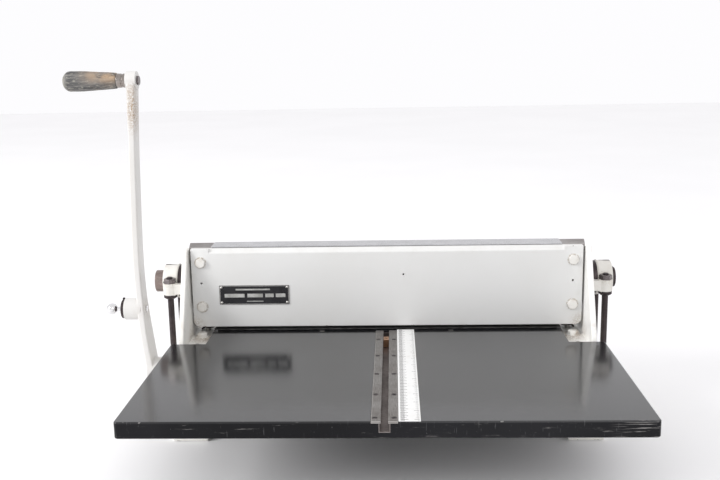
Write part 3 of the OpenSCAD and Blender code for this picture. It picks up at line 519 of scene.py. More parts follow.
@dataclass(frozen=True)
class Casting:
    """Matt black paint on rough cast iron."""

    colour: Colour = (0.030, 0.030, 0.032)
    dust: Colour = (0.16, 0.15, 0.14)
    roughness: float = 0.55

    def material(self, name: str, lo: Point, hi: Point) -> bpy.types.Material:
        """Makes the paint for one casting.

        Args:
            name: The material's name.
            lo: Lowest corner of the casting.
            hi: Highest corner.

        Returns:
            The material.
        """
        dress = Dress(name)
        cloud = dress.noise(18.0, 4.0, 0.6)
        sand = dress.noise(480.0, 4.0, 0.65)
        chip = dress.edge(lo, hi).fade(1.8 * MM, 0.0) * sand.fade(0.50, 0.60)
        colour = dress.mix(cloud.fade(0.40, 0.75) * 0.5, self.colour, self.dust)
        colour = dress.mix(chip * 0.8, colour, (0.30, 0.28, 0.26))
        rough = cloud * 0.2 + (self.roughness - 0.08) - chip * 0.15
        normal = dress.bump(sand, 0.30 * MM, 0.5)
        return dress.finish(Base_Color=colour, Roughness=rough, Normal=normal)


@dataclass(frozen=True)
class OldWood:
    """Turned hardwood gone grey-black from hands, with tan wear and end grain."""

    axis: tuple[float, float]
    end_x: float
    ferrule_x: float
    dark: Colour = (0.030, 0.031, 0.033)
    grey: Colour = (0.15, 0.145, 0.14)
    tan: Colour = (0.44, 0.31, 0.20)
    ash: Colour = (0.42, 0.40, 0.34)

    def material(self, name: str, lo: Point, hi: Point) -> bpy.types.Material:
        """Makes the wood for the grip.

        Args:
            name: The material's name.
            lo: Lowest corner of the grip.
            hi: Highest corner; not used.

        Returns:
            The material.
        """
        dress = Dress(name)
        y0, z0 = self.axis
        grain = dress.noise(230.0, 6.0, 0.68, (0.09, 1.0, 1.0))
        patch = dress.noise(42.0, 5.0, 0.6, (0.5, 1.0, 1.0))
        flecks = dress.noise(520.0, 4.0, 0.7, (0.22, 1.0, 1.0)).fade(0.54, 0.62)
        upper = dress.z.fade(z0 - 6 * MM, z0 + 10 * MM)
        near = dress.x.fade(lo[0] + 18 * MM, self.ferrule_x - 12 * MM)
        rubbed = (upper * near * 0.9 + near * 0.2) * patch.fade(0.36, 0.56)
        domed = dress.x.fade(self.end_x + 12 * MM, self.end_x + 1 * MM)
        radius = dress.away((0.0, y0 + 2 * MM, z0 - 3 * MM), (0, 1, 1))
        rings = (radius * (2 * math.pi / (1.9 * MM)) + grain * 7.0).sine() * 0.5 + 0.5
        colour = dress.mix(grain.fade(0.36, 0.64), self.dark, self.grey)
        colour = dress.mix(flecks * 0.55, colour, self.ash)
        colour = dress.mix(rubbed, colour, self.tan)
        colour = dress.mix(domed * (rings * 0.6 + 0.15), colour, self.ash)
        rough = grain * 0.3 + 0.40 - rubbed * 0.1
        relief = grain * 1.0 + flecks * -0.6 + rings * domed * 0.3
        normal = dress.bump(relief, 0.35 * MM, 0.7)
        return dress.finish(Base_Color=colour, Roughness=rough, Normal=normal)


@dataclass(frozen=True)
class ScalePrint:
    """White scale with fine lines each millimetre and longer ones each 5 and 10."""

    column: float
    width: float
    start_y: float
    ground: Colour = (0.80, 0.80, 0.79)
    ink: Colour = (0.05, 0.045, 0.05)
    inch: float = 25.4 * MM

    def _ticks(self, dress: Dress, step: float, length: float, from_x: float, line: float) -> Sock:
        """One row of lines across the scale.

        Args:
            dress: The material.
            step: Distance between lines.
            length: Length of a line; it is negative where the row runs to the left.
            from_x: Where the lines start.
            line: Thickness of a line.

        Returns:
            The mask.
        """
        run = (dress.y - self.start_y) / step
        beat = abs(run.fract() - 0.5) > (0.5 - line / step / 2)
        left, right = sorted((from_x, from_x + length))
        return beat * (dress.x > left) * (dress.x < right)

    def material(self, name: str, lo: Point, hi: Point) -> bpy.types.Material:
        """Makes the printed face of the scale.

        Args:
            name: The material's name.
            lo: Lowest corner of the scale.
            hi: Highest corner.

        Returns:
            The material.
        """
        dress = Dress(name)
        first = lo[0] + self.column
        last = hi[0] - 1.5 * MM
        marks = self._ticks(dress, 1 * MM, self.width * 0.55, first, 0.40 * MM)
        marks = marks.high(self._ticks(dress, 5 * MM, self.width * 0.8, first, 0.75 * MM))
        marks = marks.high(self._ticks(dress, 10 * MM, self.width, first, 0.95 * MM))
        marks = marks.high(self._ticks(dress, self.inch / 16, -2.2 * MM, last, 0.34 * MM))
        marks = marks.high(self._ticks(dress, self.inch / 4, -3.6 * MM, last, 0.5 * MM))
        marks = marks.high(self._ticks(dress, self.inch, -5.5 * MM, last, 0.8 * MM))
        cloud = dress.noise(20.0, 4.0)
        soil = dress.noise(160.0, 4.0, 0.65).fade(0.56, 0.72)
        colour = dress.mix(cloud.fade(0.4, 0.7) * 0.3, self.ground, (0.66, 0.65, 0.62))
        colour = dress.mix(soil * 0.18, colour, (0.4, 0.36, 0.3))
        colour = dress.mix(marks * 0.95, colour, self.ink)
        normal = dress.bump(1.0 - marks + cloud * 0.2, 0.06 * MM, 0.5)
        return dress.finish(Base_Color=colour, Roughness=cloud * 0.15 + 0.32, Normal=normal)


CREAM = Enamel()
WORN_CREAM = Enamel((0.75, 0.735, 0.70), (0.68, 0.65, 0.58), pits=0.6, grime=0.45, roughness=0.33)
# The lever's cream is a darker copy of the same paint: painted shade on the strongly lit lever, with real
# brown soil and pits.
SHADED_LEVER_CREAM = Enamel(
    (0.655, 0.645, 0.63), (0.60, 0.585, 0.545), (0.30, 0.195, 0.10), pits=0.15, grime=0.15, roughness=0.34
)
FACE_PAINT = Enamel((0.71, 0.71, 0.70), (0.67, 0.665, 0.645), pits=0.08, grime=0.14, roughness=0.40)
BLACK_LACQUER = Lacquer()
BLACK_IRON = Casting()
GROUND_STEEL = Steel()
STRIP_STEEL = Steel((0.20, 0.19, 0.18), (0.115, 0.10, 0.092), 0.44, (1.0, 0.05, 1.0), 0.6)
BROWN_STEEL = Steel((0.23, 0.175, 0.155), (0.075, 0.05, 0.042), 0.33, (0.1, 1.0, 1.0), 0.7)
# Near-black steel for the die and stripper plates: painted shade for the dark gap under the ram.
GAP_SHADE_STEEL = Steel((0.012, 0.011, 0.010), (0.006, 0.005, 0.005), 0.60, oil=0.9, metallic=0.4, polish=0.0)
DARK_CHANNEL = Steel((0.115, 0.088, 0.080), (0.060, 0.042, 0.037), 0.45, (0.1, 1.0, 1.0), 0.5, polish=0.2)
CROWN_STEEL = Steel((0.27, 0.245, 0.24), (0.115, 0.10, 0.095), 0.42, oil=0.6)
BLUED = Turned((0.036, 0.028, 0.030), (0.088, 0.070, 0.068), 0.33, 0.75)
NUT_STEEL = Turned((0.16, 0.14, 0.14), (0.06, 0.05, 0.05), 0.26, 0.9)
BRIGHT = Turned((0.64, 0.63, 0.61), (0.40, 0.37, 0.34), 0.28)
CHROME = Turned((0.80, 0.80, 0.81), (0.62, 0.61, 0.60), 0.14, 1.0, 0.35)
BRONZE = Turned((0.50, 0.33, 0.16), (0.25, 0.16, 0.09), 0.36)
WORN_BRASS = Turned((0.56, 0.33, 0.20), (0.26, 0.14, 0.09), 0.34)
GLOSS_BLACK = Turned((0.012, 0.012, 0.014), (0.03, 0.03, 0.033), 0.17, 0.0, 0.4)
TOP_BLACK = Turned((0.50, 0.50, 0.52), (0.40, 0.40, 0.41), 0.24, 1.0, 0.5)


# ---------------------------------------------------------------- modelling


def _alone(obj: bpy.types.Object) -> None:
    """Makes one object the only selected and active one, in object mode."""
    if bpy.context.object and bpy.context.object.mode != "OBJECT":
        bpy.ops.object.mode_set(mode="OBJECT")
    bpy.ops.object.select_all(action="DESELECT")
    obj.select_set(True)
    bpy.context.view_layer.objects.active = obj


class Form:
    """A mesh that is modelled with edit-mode operators and applied modifiers."""

    def __init__(self, obj: bpy.types.Object, name: str) -> None:
        """Takes over an object.

        Args:
            obj: The object, whose place is still its own.
            name: The piece's name.
        """
        self.obj = obj
        obj.name = name
        obj.data.name = name
        _alone(obj)
        bpy.ops.object.transform_apply(location=True, rotation=True, scale=True)

    # starts

    @classmethod
    def box(cls, name: str, lo: Point, hi: Point) -> "Form":
        """A block between two corners."""
        bpy.ops.object.select_all(action="DESELECT")
        size = [b - a for a, b in zip(lo, hi)]
        middle = [(a + b) / 2 for a, b in zip(lo, hi)]
        bpy.ops.mesh.primitive_cube_add(size=1.0, location=middle, scale=size)
        return cls(bpy.context.object, name)

    @classmethod
    def rod(
        cls, name: str, start: Point, length: float, radius: float, axis: Axis = Axis.Z, sides: int = 40
    ) -> "Form":
        """A round or many-sided bar.

        Args:
            name: The piece's name.
            start: Centre of its first end.
            length: Length, which is negative where it runs backwards.
            radius: Radius to its corners.
            axis: Its direction.
            sides: Number of sides.

        Returns:
            The bar.
        """
        turn = {Axis.X: (0, math.pi / 2, 0), Axis.Y: (-math.pi / 2, 0, 0), Axis.Z: (0, 0, 0)}[axis]
        middle = Vector(start)
        middle["XYZ".index(axis.value)] += length / 2
        bpy.ops.object.select_all(action="DESELECT")
        bpy.ops.mesh.primitive_cylinder_add(
            vertices=sides, radius=radius, depth=abs(length), location=middle, rotation=turn
        )
        return cls(bpy.context.object, name)

    @classmethod
    def outline(cls, name: str, points: Sequence[Point], axis: Axis, start: float, end: float) -> "Form":
        """A plate with any outline.

        Args:
            name: The piece's name.
            points: Corners in the plane across the axis, in the order X, Y, Z.
            axis: Direction of its thickness.
            start: Place of its first face along the axis.
            end: Place of its second face.

        Returns:
            The plate.
        """
        bpy.ops.object.select_all(action="DESELECT")
        bpy.ops.mesh.primitive_circle_add(vertices=len(points), fill_type="NGON")
        form = cls(bpy.context.object, name)
        along = "XYZ".index(axis.value)
        for vertex, point in zip(form.obj.data.vertices, points):
            place = list(point)
            place.insert(along, start)
            vertex.co = place
        shift = [0.0, 0.0, 0.0]
        shift[along] = end - start
        form.edit("FACE", "SELECT")
        bpy.ops.mesh.extrude_region_move(TRANSFORM_OT_translate={"value": shift})
        form.outwards()
        return form

    @classmethod
    def turned(
        cls, name: str, profile: Sequence[Point], centre: Point, axis: Axis, steps: int = 48
    ) -> "Form":
        """A piece turned on a lathe.

        Args:
            name: The piece's name.
            profile: Closed outline of (distance along the axis, radius).
            centre: The point where the distance is 0.
            axis: The lathe's axis.
            steps: Number of sides.

        Returns:
            The turned piece.
        """
        bpy.ops.object.select_all(action="DESELECT")
        bpy.ops.mesh.primitive_circle_add(vertices=len(profile), fill_type="NOTHING")
        form = cls(bpy.context.object, name)
        along = "XYZ".index(axis.value)
        for vertex, (distance, radius) in zip(form.obj.data.vertices, profile):
            place = Vector(centre)
            place[along] += distance
            place[(along + 1) % 3] += radius
            vertex.co = place
        direction = [1.0 if i == along else 0.0 for i in range(3)]
        form.edit("EDGE", "SELECT")
        bpy.ops.mesh.spin(steps=steps, angle=2 * math.pi, center=tuple(centre), axis=direction)
        form.outwards()
        return form

    @classmethod
    def softened(cls, name: str, node: str, width: float, segments: int = 2) -> "Form":
        """A merged copy of a frame node with its sharp edges eased.

        Args:
            name: The piece's name.
            node: The frame's node.
            width: Width of the eased edge.
            segments: Steps across it.

        Returns:
            The eased copy.
        """
        source = bpy.data.objects[node]
        copy = bpy.data.objects.new(name, source.data.copy())
        copy.data.materials.clear()
        bpy.context.scene.collection.objects.link(copy)
        form = cls(copy, name)
        form.edit("VERT", "SELECT")
        bpy.ops.mesh.remove_doubles(threshold=0.5 * NEAR)
        bpy.ops.mesh.customdata_custom_splitnormals_clear()
        bpy.ops.mesh.dissolve_limited(angle_limit=math.radians(0.5))
        form.soften(width, segments)
        return form

    # edit mode

    def edit(self, mode: str, action: str = "DESELECT") -> None:
        """Opens edit mode with all or nothing selected.

        Args:
            mode: VERT, EDGE or FACE.
            action: SELECT or DESELECT.
        """
        _alone(self.obj)
        bpy.ops.object.mode_set(mode="EDIT")
        bpy.ops.mesh.select_mode(type=mode)
        bpy.ops.mesh.select_all(action=action)

    def pick_edges(self, test: Callable[[Vector, Vector], bool]) -> None:
        """Selects the edges whose two ends pass a test, in edit mode."""
        self.edit("EDGE")
        bpy.ops.object.mode_set(mode="OBJECT")
        mesh = self.obj.data
        for edge in mesh.edges:
            a, b = (mesh.vertices[i].co for i in edge.vertices)
            edge.select = test(a, b)
        bpy.ops.object.mode_set(mode="EDIT")

    def pick_faces(self, test: Callable[[Vector, Vector], bool]) -> None:
        """Selects the faces whose centre and normal pass a test, in edit mode."""
        self.edit("FACE")
        bpy.ops.object.mode_set(mode="OBJECT")
        for face in self.obj.data.polygons:
            face.select = test(face.center, face.normal)
        bpy.ops.object.mode_set(mode="EDIT")

    def round_edges(self, test: Callable[[Vector, Vector], bool], radius: float, segments: int) -> "Form":
        """Rounds the edges that pass a test.

        Args:
            test: Which edges, from their two ends.
            radius: Radius of the rounding.
            segments: Steps across it.

        Returns:
            The form itself.
        """
        self.pick_edges(test)
        bpy.ops.mesh.bevel(offset=radius, offset_type="OFFSET", segments=segments, affect="EDGES")
        bpy.ops.object.mode_set(mode="OBJECT")
        return self

    def outwards(self) -> None:
        """Merges doubled points, drops loose edges and turns the faces outwards."""
        self.edit("VERT", "SELECT")
        bpy.ops.mesh.remove_doubles(threshold=0.5 * NEAR)
        bpy.ops.mesh.dissolve_degenerate(threshold=0.2 * NEAR)
        bpy.ops.mesh.delete_loose()
        bpy.ops.mesh.select_all(action="SELECT")
        bpy.ops.mesh.normals_make_consistent(inside=False)
        bpy.ops.object.mode_set(mode="OBJECT")

    # modifiers

    def modify(self, kind: str, **settings: Any) -> "Form":
        """Adds a modifier and applies it.

        Args:
            kind: The modifier's type.
            **settings: Its settings.

        Returns:
            The form itself.
        """
        _alone(self.obj)
        modifier = self.obj.modifiers.new(kind.title(), kind)
        for key, value in settings.items():
            setattr(modifier, key, value)
        bpy.ops.object.modifier_apply(modifier=modifier.name)
        return self

    def _boolean(self, operation: str, others: Iterable["Form"]) -> "Form":
        """Joins, cuts or intersects with other forms, which are used up."""
        for other in others:
            self.modify("BOOLEAN", operation=operation, object=other.obj, solver="EXACT")
            bpy.data.objects.remove(other.obj, do_unlink=True)
        return self

    def add(self, *others: "Form") -> "Form":
        """Joins other forms into one solid with this."""
        return self._boolean("UNION", others)

    def cut(self, *others: "Form") -> "Form":
        """Cuts other forms out of this."""
        return self._boolean("DIFFERENCE", others)

    def within(self, *others: "Form") -> "Form":
        """Keeps only what lies inside the other forms too."""
        return self._boolean("INTERSECT", others)

    def soften(self, width: float, segments: int = 2, angle: float = 32.0) -> "Form":
        """Eases every sharp edge.

        Args:
            width: Width of the eased edge.
            segments: Steps across it.
            angle: Least angle of an edge that is eased, in degrees.

        Returns:
            The form itself.
        """
        self.modify(
            "BEVEL", width=width, segments=segments, limit_method="ANGLE",
            angle_limit=math.radians(angle), use_clamp_overlap=False,
        )
        _alone(self.obj)
        bpy.ops.object.shade_smooth_by_angle(angle=math.radians(angle))
        return self.modify("WEIGHTED_NORMAL", keep_sharp=True, weight=80)

    def rough_cast(self, size: float, depth: float) -> "Form":
        """Moves the surface by smooth noise, as on a hand-dressed casting.

        Args:
            size: Size of the unevenness.
            depth: Its height.

        Returns:
            The form itself.
        """
        texture = bpy.data.textures.new(self.obj.name, "CLOUDS")
        texture.noise_scale = size
        return self.modify("DISPLACE", texture=texture, strength=depth, mid_level=0.5, texture_coords="LOCAL")

    # copies

    def copied(self, name: str, matrix: Matrix) -> "Form":
        """A copy with its own mesh at another place.

        Args:
            name: The copy's name.
            matrix: How it is moved; a mirror is allowed.

        Returns:
            The copy.
        """
        obj = bpy.data.objects.new(name, self.obj.data.copy())
        bpy.context.scene.collection.objects.link(obj)
        obj.data.transform(matrix)
        if matrix.determinant() < 0:
            obj.data.flip_normals()
        return Form(obj, name)

    def moved(self, matrix: Matrix) -> "Form":
        """Moves the mesh itself, so that its object stays at the origin."""
        self.obj.data.transform(matrix)
        return self

    def joined(self, *others: "Form") -> "Form":
        """Gathers separate solids into one piece."""
        bpy.ops.object.select_all(action="DESELECT")
        for form in (self, *others):
            form.obj.select_set(True)
        bpy.context.view_layer.objects.active = self.obj
        if others:
            bpy.ops.object.join()
        return self

    def corners(self) -> tuple[Vector, Vector]:
        """Lowest and highest corner of the mesh."""
        points = [v.co for v in self.obj.data.vertices]
        lo = Vector([min(p[i] for p in points) for i in range(3)])
        hi = Vector([max(p[i] for p in points) for i in range(3)])
        return lo, hi

    def done(self, body: str, finish: Any, slot: str, *nodes: str) -> bpy.types.Object:
        """Dresses the piece and hangs it on its body.

        Args:
            body: The body that it moves with.
            finish: What it is covered with.
            slot: The record's material slot.
            *nodes: Frame nodes that it stands for.

        Returns:
            The finished object.
        """
        lo, hi = self.corners()
        self.obj.data.materials.clear()
        self.obj.data.materials.append(finish.material(self.obj.name, lo, hi))
        return hang(self.obj, body, slot, *nodes)


def hang(obj: bpy.types.Object, body: str, slot: str, *nodes: str) -> bpy.types.Object:
    """Rides a dressed piece on its body and hides the nodes that it stands for.

    Args:
        obj: The piece.
        body: The body that it moves with.
        slot: The record's material slot; not used.
        *nodes: Frame nodes that it stands for.

    Returns:
        The piece.
    """
    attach(obj, body)
    if nodes:
        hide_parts(*nodes)
    LOG.info("%s rides on %s, %d faces", obj.name, body, len(obj.data.polygons))
    return obj


def mirrored() -> Matrix:
    """The mirror from the right side of the machine to the left."""
    return Matrix.Scale(-1.0, 4, (1, 0, 0))


def at(place: Point, turn: Matrix | None = None) -> Matrix:
    """Moves a form that was made at the origin to its place, turned first if need be."""
    shift = Matrix.Translation(place)
    return shift if turn is None else shift @ turn


def hexagon(name: str, flats: float, height: float, bore: float = 0.0) -> Form:
    """A nut or bolt head that stands on the origin, with turned-off corners.

    Args:
        name: The piece's name.
        flats: Width across flats.
        height: Height along Z.
        bore: Radius of its hole, or 0.

    Returns:
        The hexagon.
    """
    corner = flats / 2 / math.cos(math.radians(30))
    drop = (corner - flats / 2 * 0.94) * 0.58
    head = Form.rod(name, (0, 0, 0), height, corner, sides=6)
    wide, flat = corner * 1.02, flats / 2 * 0.94
    lathe = [(0, 0), (0, wide), (height - drop, wide), (height, flat), (height, 0)]
    head.within(Form.turned("tool", lathe, (0, 0, 0), Axis.Z))
    if bore:
        head.cut(Form.rod("tool", (0, 0, -height), 3 * height, bore))
    return head.soften(0.25 * MM, 1)


# ---------------------------------------------------------------- shared places


class Body(Enum):
    """The frame's bodies."""

    FRAME = "frame"
    SLIDER = "slider"
    RAM = "ram"
    LEVER = "lever"
    PLUNGER = "plunger"
    GRIP = "grip"


TRUNNION_Z = 0.1865
SHAFT_Z = 0.045
ROD_X = 0.3147
ROD_Y = 0.030


# ---------------------------------------------------------------- table


@dataclass
class Table:
    """Black board with a slot, its steel strips, a scale and a brass slider."""

    corner: float = 5 * MM
    eased: float = 1.7 * MM
    wing_rear: float = -0.099
    tongue_x: float = 0.2525
    slot_end: float = -0.042
    strip_in: float = 4 * MM
    strip_out: float = 15 * MM
    strip_t: float = 2.5 * MM
    channel_out: float = 6.5 * MM
    channel_floor: float = 0.107
    screws: int = 5
    screw_r: float = 3 * MM
    bare_screw: tuple[float, float] = (0.093, -0.043)
    bare_screw_r: float = 4.25 * MM
    screw_sink: float = 0.6 * MM

    def board(self) -> None:
        """Makes the board: two wings and a tongue, with the slot's recess cut in."""
        lo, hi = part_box("table_board")
        half = [(hi.x, lo.y), (hi.x, self.wing_rear), (self.tongue_x, self.wing_rear), (self.tongue_x, hi.y)]
        shape = half + [(-x, y) for x, y in reversed(half)]
        board = Form.outline("table_board_lacquered", shape, Axis.Z, lo.z, hi.z)
        wide = self.tongue_x + MM
        board.round_edges(lambda a, b: abs(a.z - b.z) > NEAR and abs(a.x) > wide, self.corner, 6)
        board.soften(self.eased, 4)
        top = hi.z + MM
        front = lo.y - MM
        recesses = ((self.strip_out + 0.15 * MM, hi.z - self.strip_t), (self.channel_out, self.channel_floor))
        for wide, floor in recesses:
            board.cut(Form.box("tool", (-wide, front, floor), (wide, self.slot_end, top)))
        for side in Side:
            place = (side.value * self.bare_screw[0], self.bare_screw[1], hi.z - self.screw_sink)
            board.cut(Form.rod("tool", place, 2 * MM, self.bare_screw_r, Axis.Z, 32))
        board.soften(0.25 * MM, 1)
        board.done(Body.FRAME.value, BLACK_LACQUER, "table_black", "table_board")

    def strips(self) -> None:
        """Makes the two steel strips along the slot and their slotted screws."""
        lo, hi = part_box("slot_strips")
        first, last = lo.y + 11 * MM, self.slot_end - 42 * MM
        pitch = (last - first) / (self.screws - 1)
        screw = self._screw()
        strips, screws = [], []
        for side in Side:
            inner, outer = sorted((side.value * self.strip_in, side.value * self.strip_out))
            strip = Form.box("slot_strip", (inner, lo.y, lo.z), (outer, hi.y, hi.z)).soften(0.45 * MM, 2)
            middle = side.value * (self.strip_in + 0.62 * (self.strip_out - self.strip_in))
            for i in range(self.screws):
                place = (middle, first + i * pitch, hi.z)
                sink = (middle, place[1], hi.z - 0.9 * MM)
                strip.cut(Form.rod("tool", sink, 2 * MM, self.screw_r + 0.25 * MM))
                turn = Matrix.Rotation(math.radians(38 + 67 * i + 25 * side.value), 4, "Z")
                screws.append(screw.copied("screw", at(place, turn)))
            strips.append(strip)
        strips[0].joined(*strips[1:])
        strips[0].obj.name = "slot_strips_worn"
        strips[0].done(Body.FRAME.value, STRIP_STEEL, "bare_steel", "slot_strips")
        bpy.data.objects.remove(screw.obj)
        screws[0].joined(*screws[1:])
        screws[0].obj.name = "strip_screws_slotted"
        screws[0].done(Body.FRAME.value, BLUED, "bright_steel", "strip_screws")

    def _screw(self) -> Form:
        """One countersunk screw, its top at the origin, with a straight slot."""
        r = self.screw_r
        profile = [
            (-1.2 * MM, 0), (-1.2 * MM, r - MM), (-0.5 * MM, r), (-0.15 * MM, r), (0, r - 0.3 * MM), (0, 0),
        ]
        screw = Form.turned("screw", profile, (0, 0, 0), Axis.Z, 24)
        screw.cut(Form.box("tool", (-4 * MM, -0.45 * MM, -0.7 * MM), (4 * MM, 0.45 * MM, MM)))
        return screw

    def scale(self) -> None:
        """Makes the thin white scale beside the slot."""
        lo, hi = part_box("scale_rule")
        rule = Form.box("scale_rule_printed", lo, hi).soften(0.2 * MM, 2)
        ticks = ScalePrint(column=2.2 * MM, width=8.5 * MM, start_y=hi.y)
        rule.done(Body.FRAME.value, ticks, "rule_white", "scale_rule")

    def slider(self) -> None:
        """Makes the brass slider that runs in the slot."""
        slider = Form.softened("gauge_slider_brass", "gauge_slider", 0.35 * MM)
        slider.done(Body.SLIDER.value, WORN_BRASS, "slider_brass", "gauge_slider")

    def build(self) -> None:
        """Makes every piece of the table."""
        self.board()
        self.strips()
        self.scale()
        self.slider()


# ---------------------------------------------------------------- side frames


@dataclass
class SideFrames:
    """Uprights with their bolts, the crown bar across them and the black plate on it."""

    web_in: float = 0.284
    flange_in: float = 0.254
    flange_y: float = 0.084
    flange_t: float = 10 * MM
    knee_z: float = 0.124
    front_y: float = -0.039
    shelf_front: float = -0.0249
    shelf_rear: float = 0.0143
    shelf_z: float = 0.23145
    slot_r: float = 12.5 * MM
    slot_drop: float = 5 * MM
    bolt_x: float = 0.270
    bolt_ys: tuple[float, float] = (-0.034, 0.050)
    bolt_flats: float = 13.5 * MM
    bolt_head: float = 6 * MM
    washer_r: float = 9.5 * MM
    washer_t: float = 1.0 * MM
    crown_taper: float = 6 * MM

    def uprights(self) -> None:
        """Makes the right upright and its mirror image."""
        lo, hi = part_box("upright_right")
        outline = [
            (lo.y, lo.z), (hi.y, lo.z), (hi.y, self.knee_z),
            (self.shelf_rear, self.shelf_z), (self.shelf_front, self.shelf_z),
            (self.shelf_front, hi.z), (self.front_y, hi.z), (lo.y, self.knee_z),
        ]
        upright = Form.outline("upright", outline, Axis.X, self.web_in, hi.x)
        foot_top = (self.web_in + MM, self.flange_y, lo.z + self.flange_t)
        upright.add(Form.box("foot", (self.flange_in, -self.flange_y, lo.z), foot_top))
        through = hi.x - self.web_in + 2 * MM
        ends = (TRUNNION_Z + 0.5 * MM, TRUNNION_Z - self.slot_drop)
        tools = [Form.rod("tool", (self.web_in - MM, 0, z), through, self.slot_r, Axis.X) for z in ends]
        slot_low = (self.web_in - MM, -self.slot_r, ends[1])
        tools.append(Form.box("tool", slot_low, (hi.x + MM, self.slot_r, ends[0])))
        upright.cut(*tools)
        upright.soften(2.2 * MM, 3)
        left = upright.copied("upright", mirrored())
        for side, form in ((Side.RIGHT, upright), (Side.LEFT, left)):
            form.obj.name = f"upright_{side.word}_cast"
            grease = Patch((side.value * 0.284, 0.0, TRUNNION_Z), 34 * MM, strength=0.5)
            foot = Patch((side.value * 0.264, -0.042, 0.112), 36 * MM, strength=1.0)
            # The right upright gets a lighter copy of the cream than the left: painted light on its brightly
            # lit face.
            tone = (0.93, 0.925, 0.90) if side is Side.RIGHT else CREAM.colour
            paint = Enamel(tone, dirt=(0.25, 0.17, 0.10), wear=(grease, foot), pits=0.6, grime=0.55)
            form.done(Body.FRAME.value, paint, "cream_paint", f"upright_{side.word}")

    def bolts(self) -> None:
        """Makes the four foot bolts on the uprights' flanges."""
        _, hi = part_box("foot_bolts")
        head = hexagon("foot_bolt", self.bolt_flats, self.bolt_head)
        r, thick = self.washer_r, self.washer_t
        rim = [(0, 0), (0, r), (thick - 0.3 * MM, r), (thick, r - 0.4 * MM), (thick, 0)]
        washer = Form.turned("washer", rim, (0, 0, 0), Axis.Z, 40)
        bolts = []
        for side in Side:
            for i, y in enumerate(self.bolt_ys):
                place = (side.value * self.bolt_x, y, hi.z - self.bolt_head)
                turn = Matrix.Rotation(math.radians(11 + 23 * i + 6 * side.value), 4, "Z")
                bolts.append(head.copied("foot_bolt", at(place, turn)))
                bolts.append(washer.copied("foot_bolt", at(place)))
        for form in (head, washer):
            bpy.data.objects.remove(form.obj)
        bolts[0].joined(*bolts[1:])
        bolts[0].obj.name = "foot_bolts_painted"
        paint = Enamel(dirt=(0.27, 0.19, 0.12), pits=0.8, grime=1.0, chips=0.6)
        bolts[0].done(Body.FRAME.value, paint, "cream_paint", "foot_bolts")

    def crown(self) -> None:
        """Makes the bare steel bar on the uprights and the black plate on it."""
        lo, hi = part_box("crown_bar")
        front = hi.x - self.crown_taper
        plan = [(-front, lo.y), (front, lo.y), (hi.x, hi.y), (lo.x, hi.y)]
        bar = Form.outline("crown_bar_ground", plan, Axis.Z, self.shelf_z, hi.z)
        rib = (self.web_in - 0.05 * MM, hi.y, self.shelf_z + MM)
        bar.add(Form.box("rib", (-rib[0], -8 * MM, lo.z), rib))
        bar.soften(0.8 * MM, 3)
        bar.done(Body.FRAME.value, CROWN_STEEL, "bare_steel", "crown_bar")
        plate = Form.box("top_plate_gloss", *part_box("top_plate")).soften(0.6 * MM, 3)
        plate.done(Body.FRAME.value, TOP_BLACK, "black_gloss", "top_plate")

    def build(self) -> None:
        """Makes every piece of the side frames."""
        self.uprights()
        self.bolts()
        self.crown()


# ---------------------------------------------------------------- ram


@dataclass
class Ram:
    """Painted face plate with its bolts and name plate."""

    corner: float = 9 * MM
    bevel: float = 6 * MM
    pad: float = 27 * MM
    bolt_x: float = 0.2673
    bolt_zs: tuple[float, float] = (0.2212, 0.1555)
    bolt_flats: float = 13.0 * MM
    bolt_head: float = 4.5 * MM
    hole_z: float = 0.1905
    hole_r: float = 1.7 * MM
    odd_hole: tuple[float, float] = (0.0256, 0.2016)
    odd_hole_r: float = 1.5 * MM
    hole_depth: float = 10 * MM

    def face(self) -> None:
        """Makes the face plate: round lower corners and a top edge bevelled between flat ends."""
        lo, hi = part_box("face_plate")
        plate = Form.box("face_plate_painted", lo, hi)
        plate.round_edges(lambda a, b: max(a.z, b.z) < lo.z + NEAR and abs(a.x - b.x) < NEAR, self.corner, 10)
        half = hi.x - self.pad
        slope = [
            (lo.y - MM, hi.z - self.bevel - MM), (lo.y + self.bevel + MM, hi.z + MM), (lo.y - MM, hi.z + MM),
        ]
        plate.cut(Form.outline("tool", slope, Axis.X, -half, half))
        plate.soften(1.1 * MM, 3)
        holes = [(side.value * self.bolt_x, self.hole_z, self.hole_r) for side in Side]
        for x, z, r in (*holes, (*self.odd_hole, self.odd_hole_r)):
            plate.cut(Form.rod("tool", (x, lo.y - MM, z), self.hole_depth + MM, r, Axis.Y, 20))
        # Rings of painted shadow round the four bolt heads, then brown grime at the two lower corners.
        marks = [
            Patch((side.value * self.bolt_x, lo.y, z), 1.8 * MM, strength=0.9, ring=7.5 * MM)
            for side in Side for z in self.bolt_zs
        ]
        marks += [
            Patch((side.value * (hi.x - 3 * MM), lo.y, lo.z + 3 * MM), 20 * MM, strength=0.6) for side in Side
        ]
        plate.done(Body.RAM.value, replace(FACE_PAINT, wear=tuple(marks)), "cream_paint", "face_plate")

    def bolts(self) -> None:
        """Makes the four painted bolts of the face plate."""
        lo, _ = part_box("face_plate")
        head = hexagon("face_bolt", self.bolt_flats, self.bolt_head)
        lay = Matrix.Rotation(math.radians(90), 4, "X")
        bolts = []
        for side in Side:
            for i, z in enumerate(self.bolt_zs):
                place = (side.value * self.bolt_x, lo.y, z)
                turn = lay @ Matrix.Rotation(math.radians(14 * side.value + 9 * i), 4, "Z")
                bolts.append(head.copied("face_bolt", at(place, turn)))
        bpy.data.objects.remove(head.obj)
        bolts[0].joined(*bolts[1:])
        bolts[0].obj.name = "face_bolts_painted"
        paint = Enamel((0.76, 0.745, 0.71), (0.68, 0.66, 0.60), grime=0.8, pits=0.3, chips=0.4)
        bolts[0].done(Body.RAM.value, paint, "cream_paint", "face_bolts")

    def build(self) -> None:
        """Makes the face plate, its bolts and its name plate."""
        self.face()
        self.bolts()
        NamePlate().build()


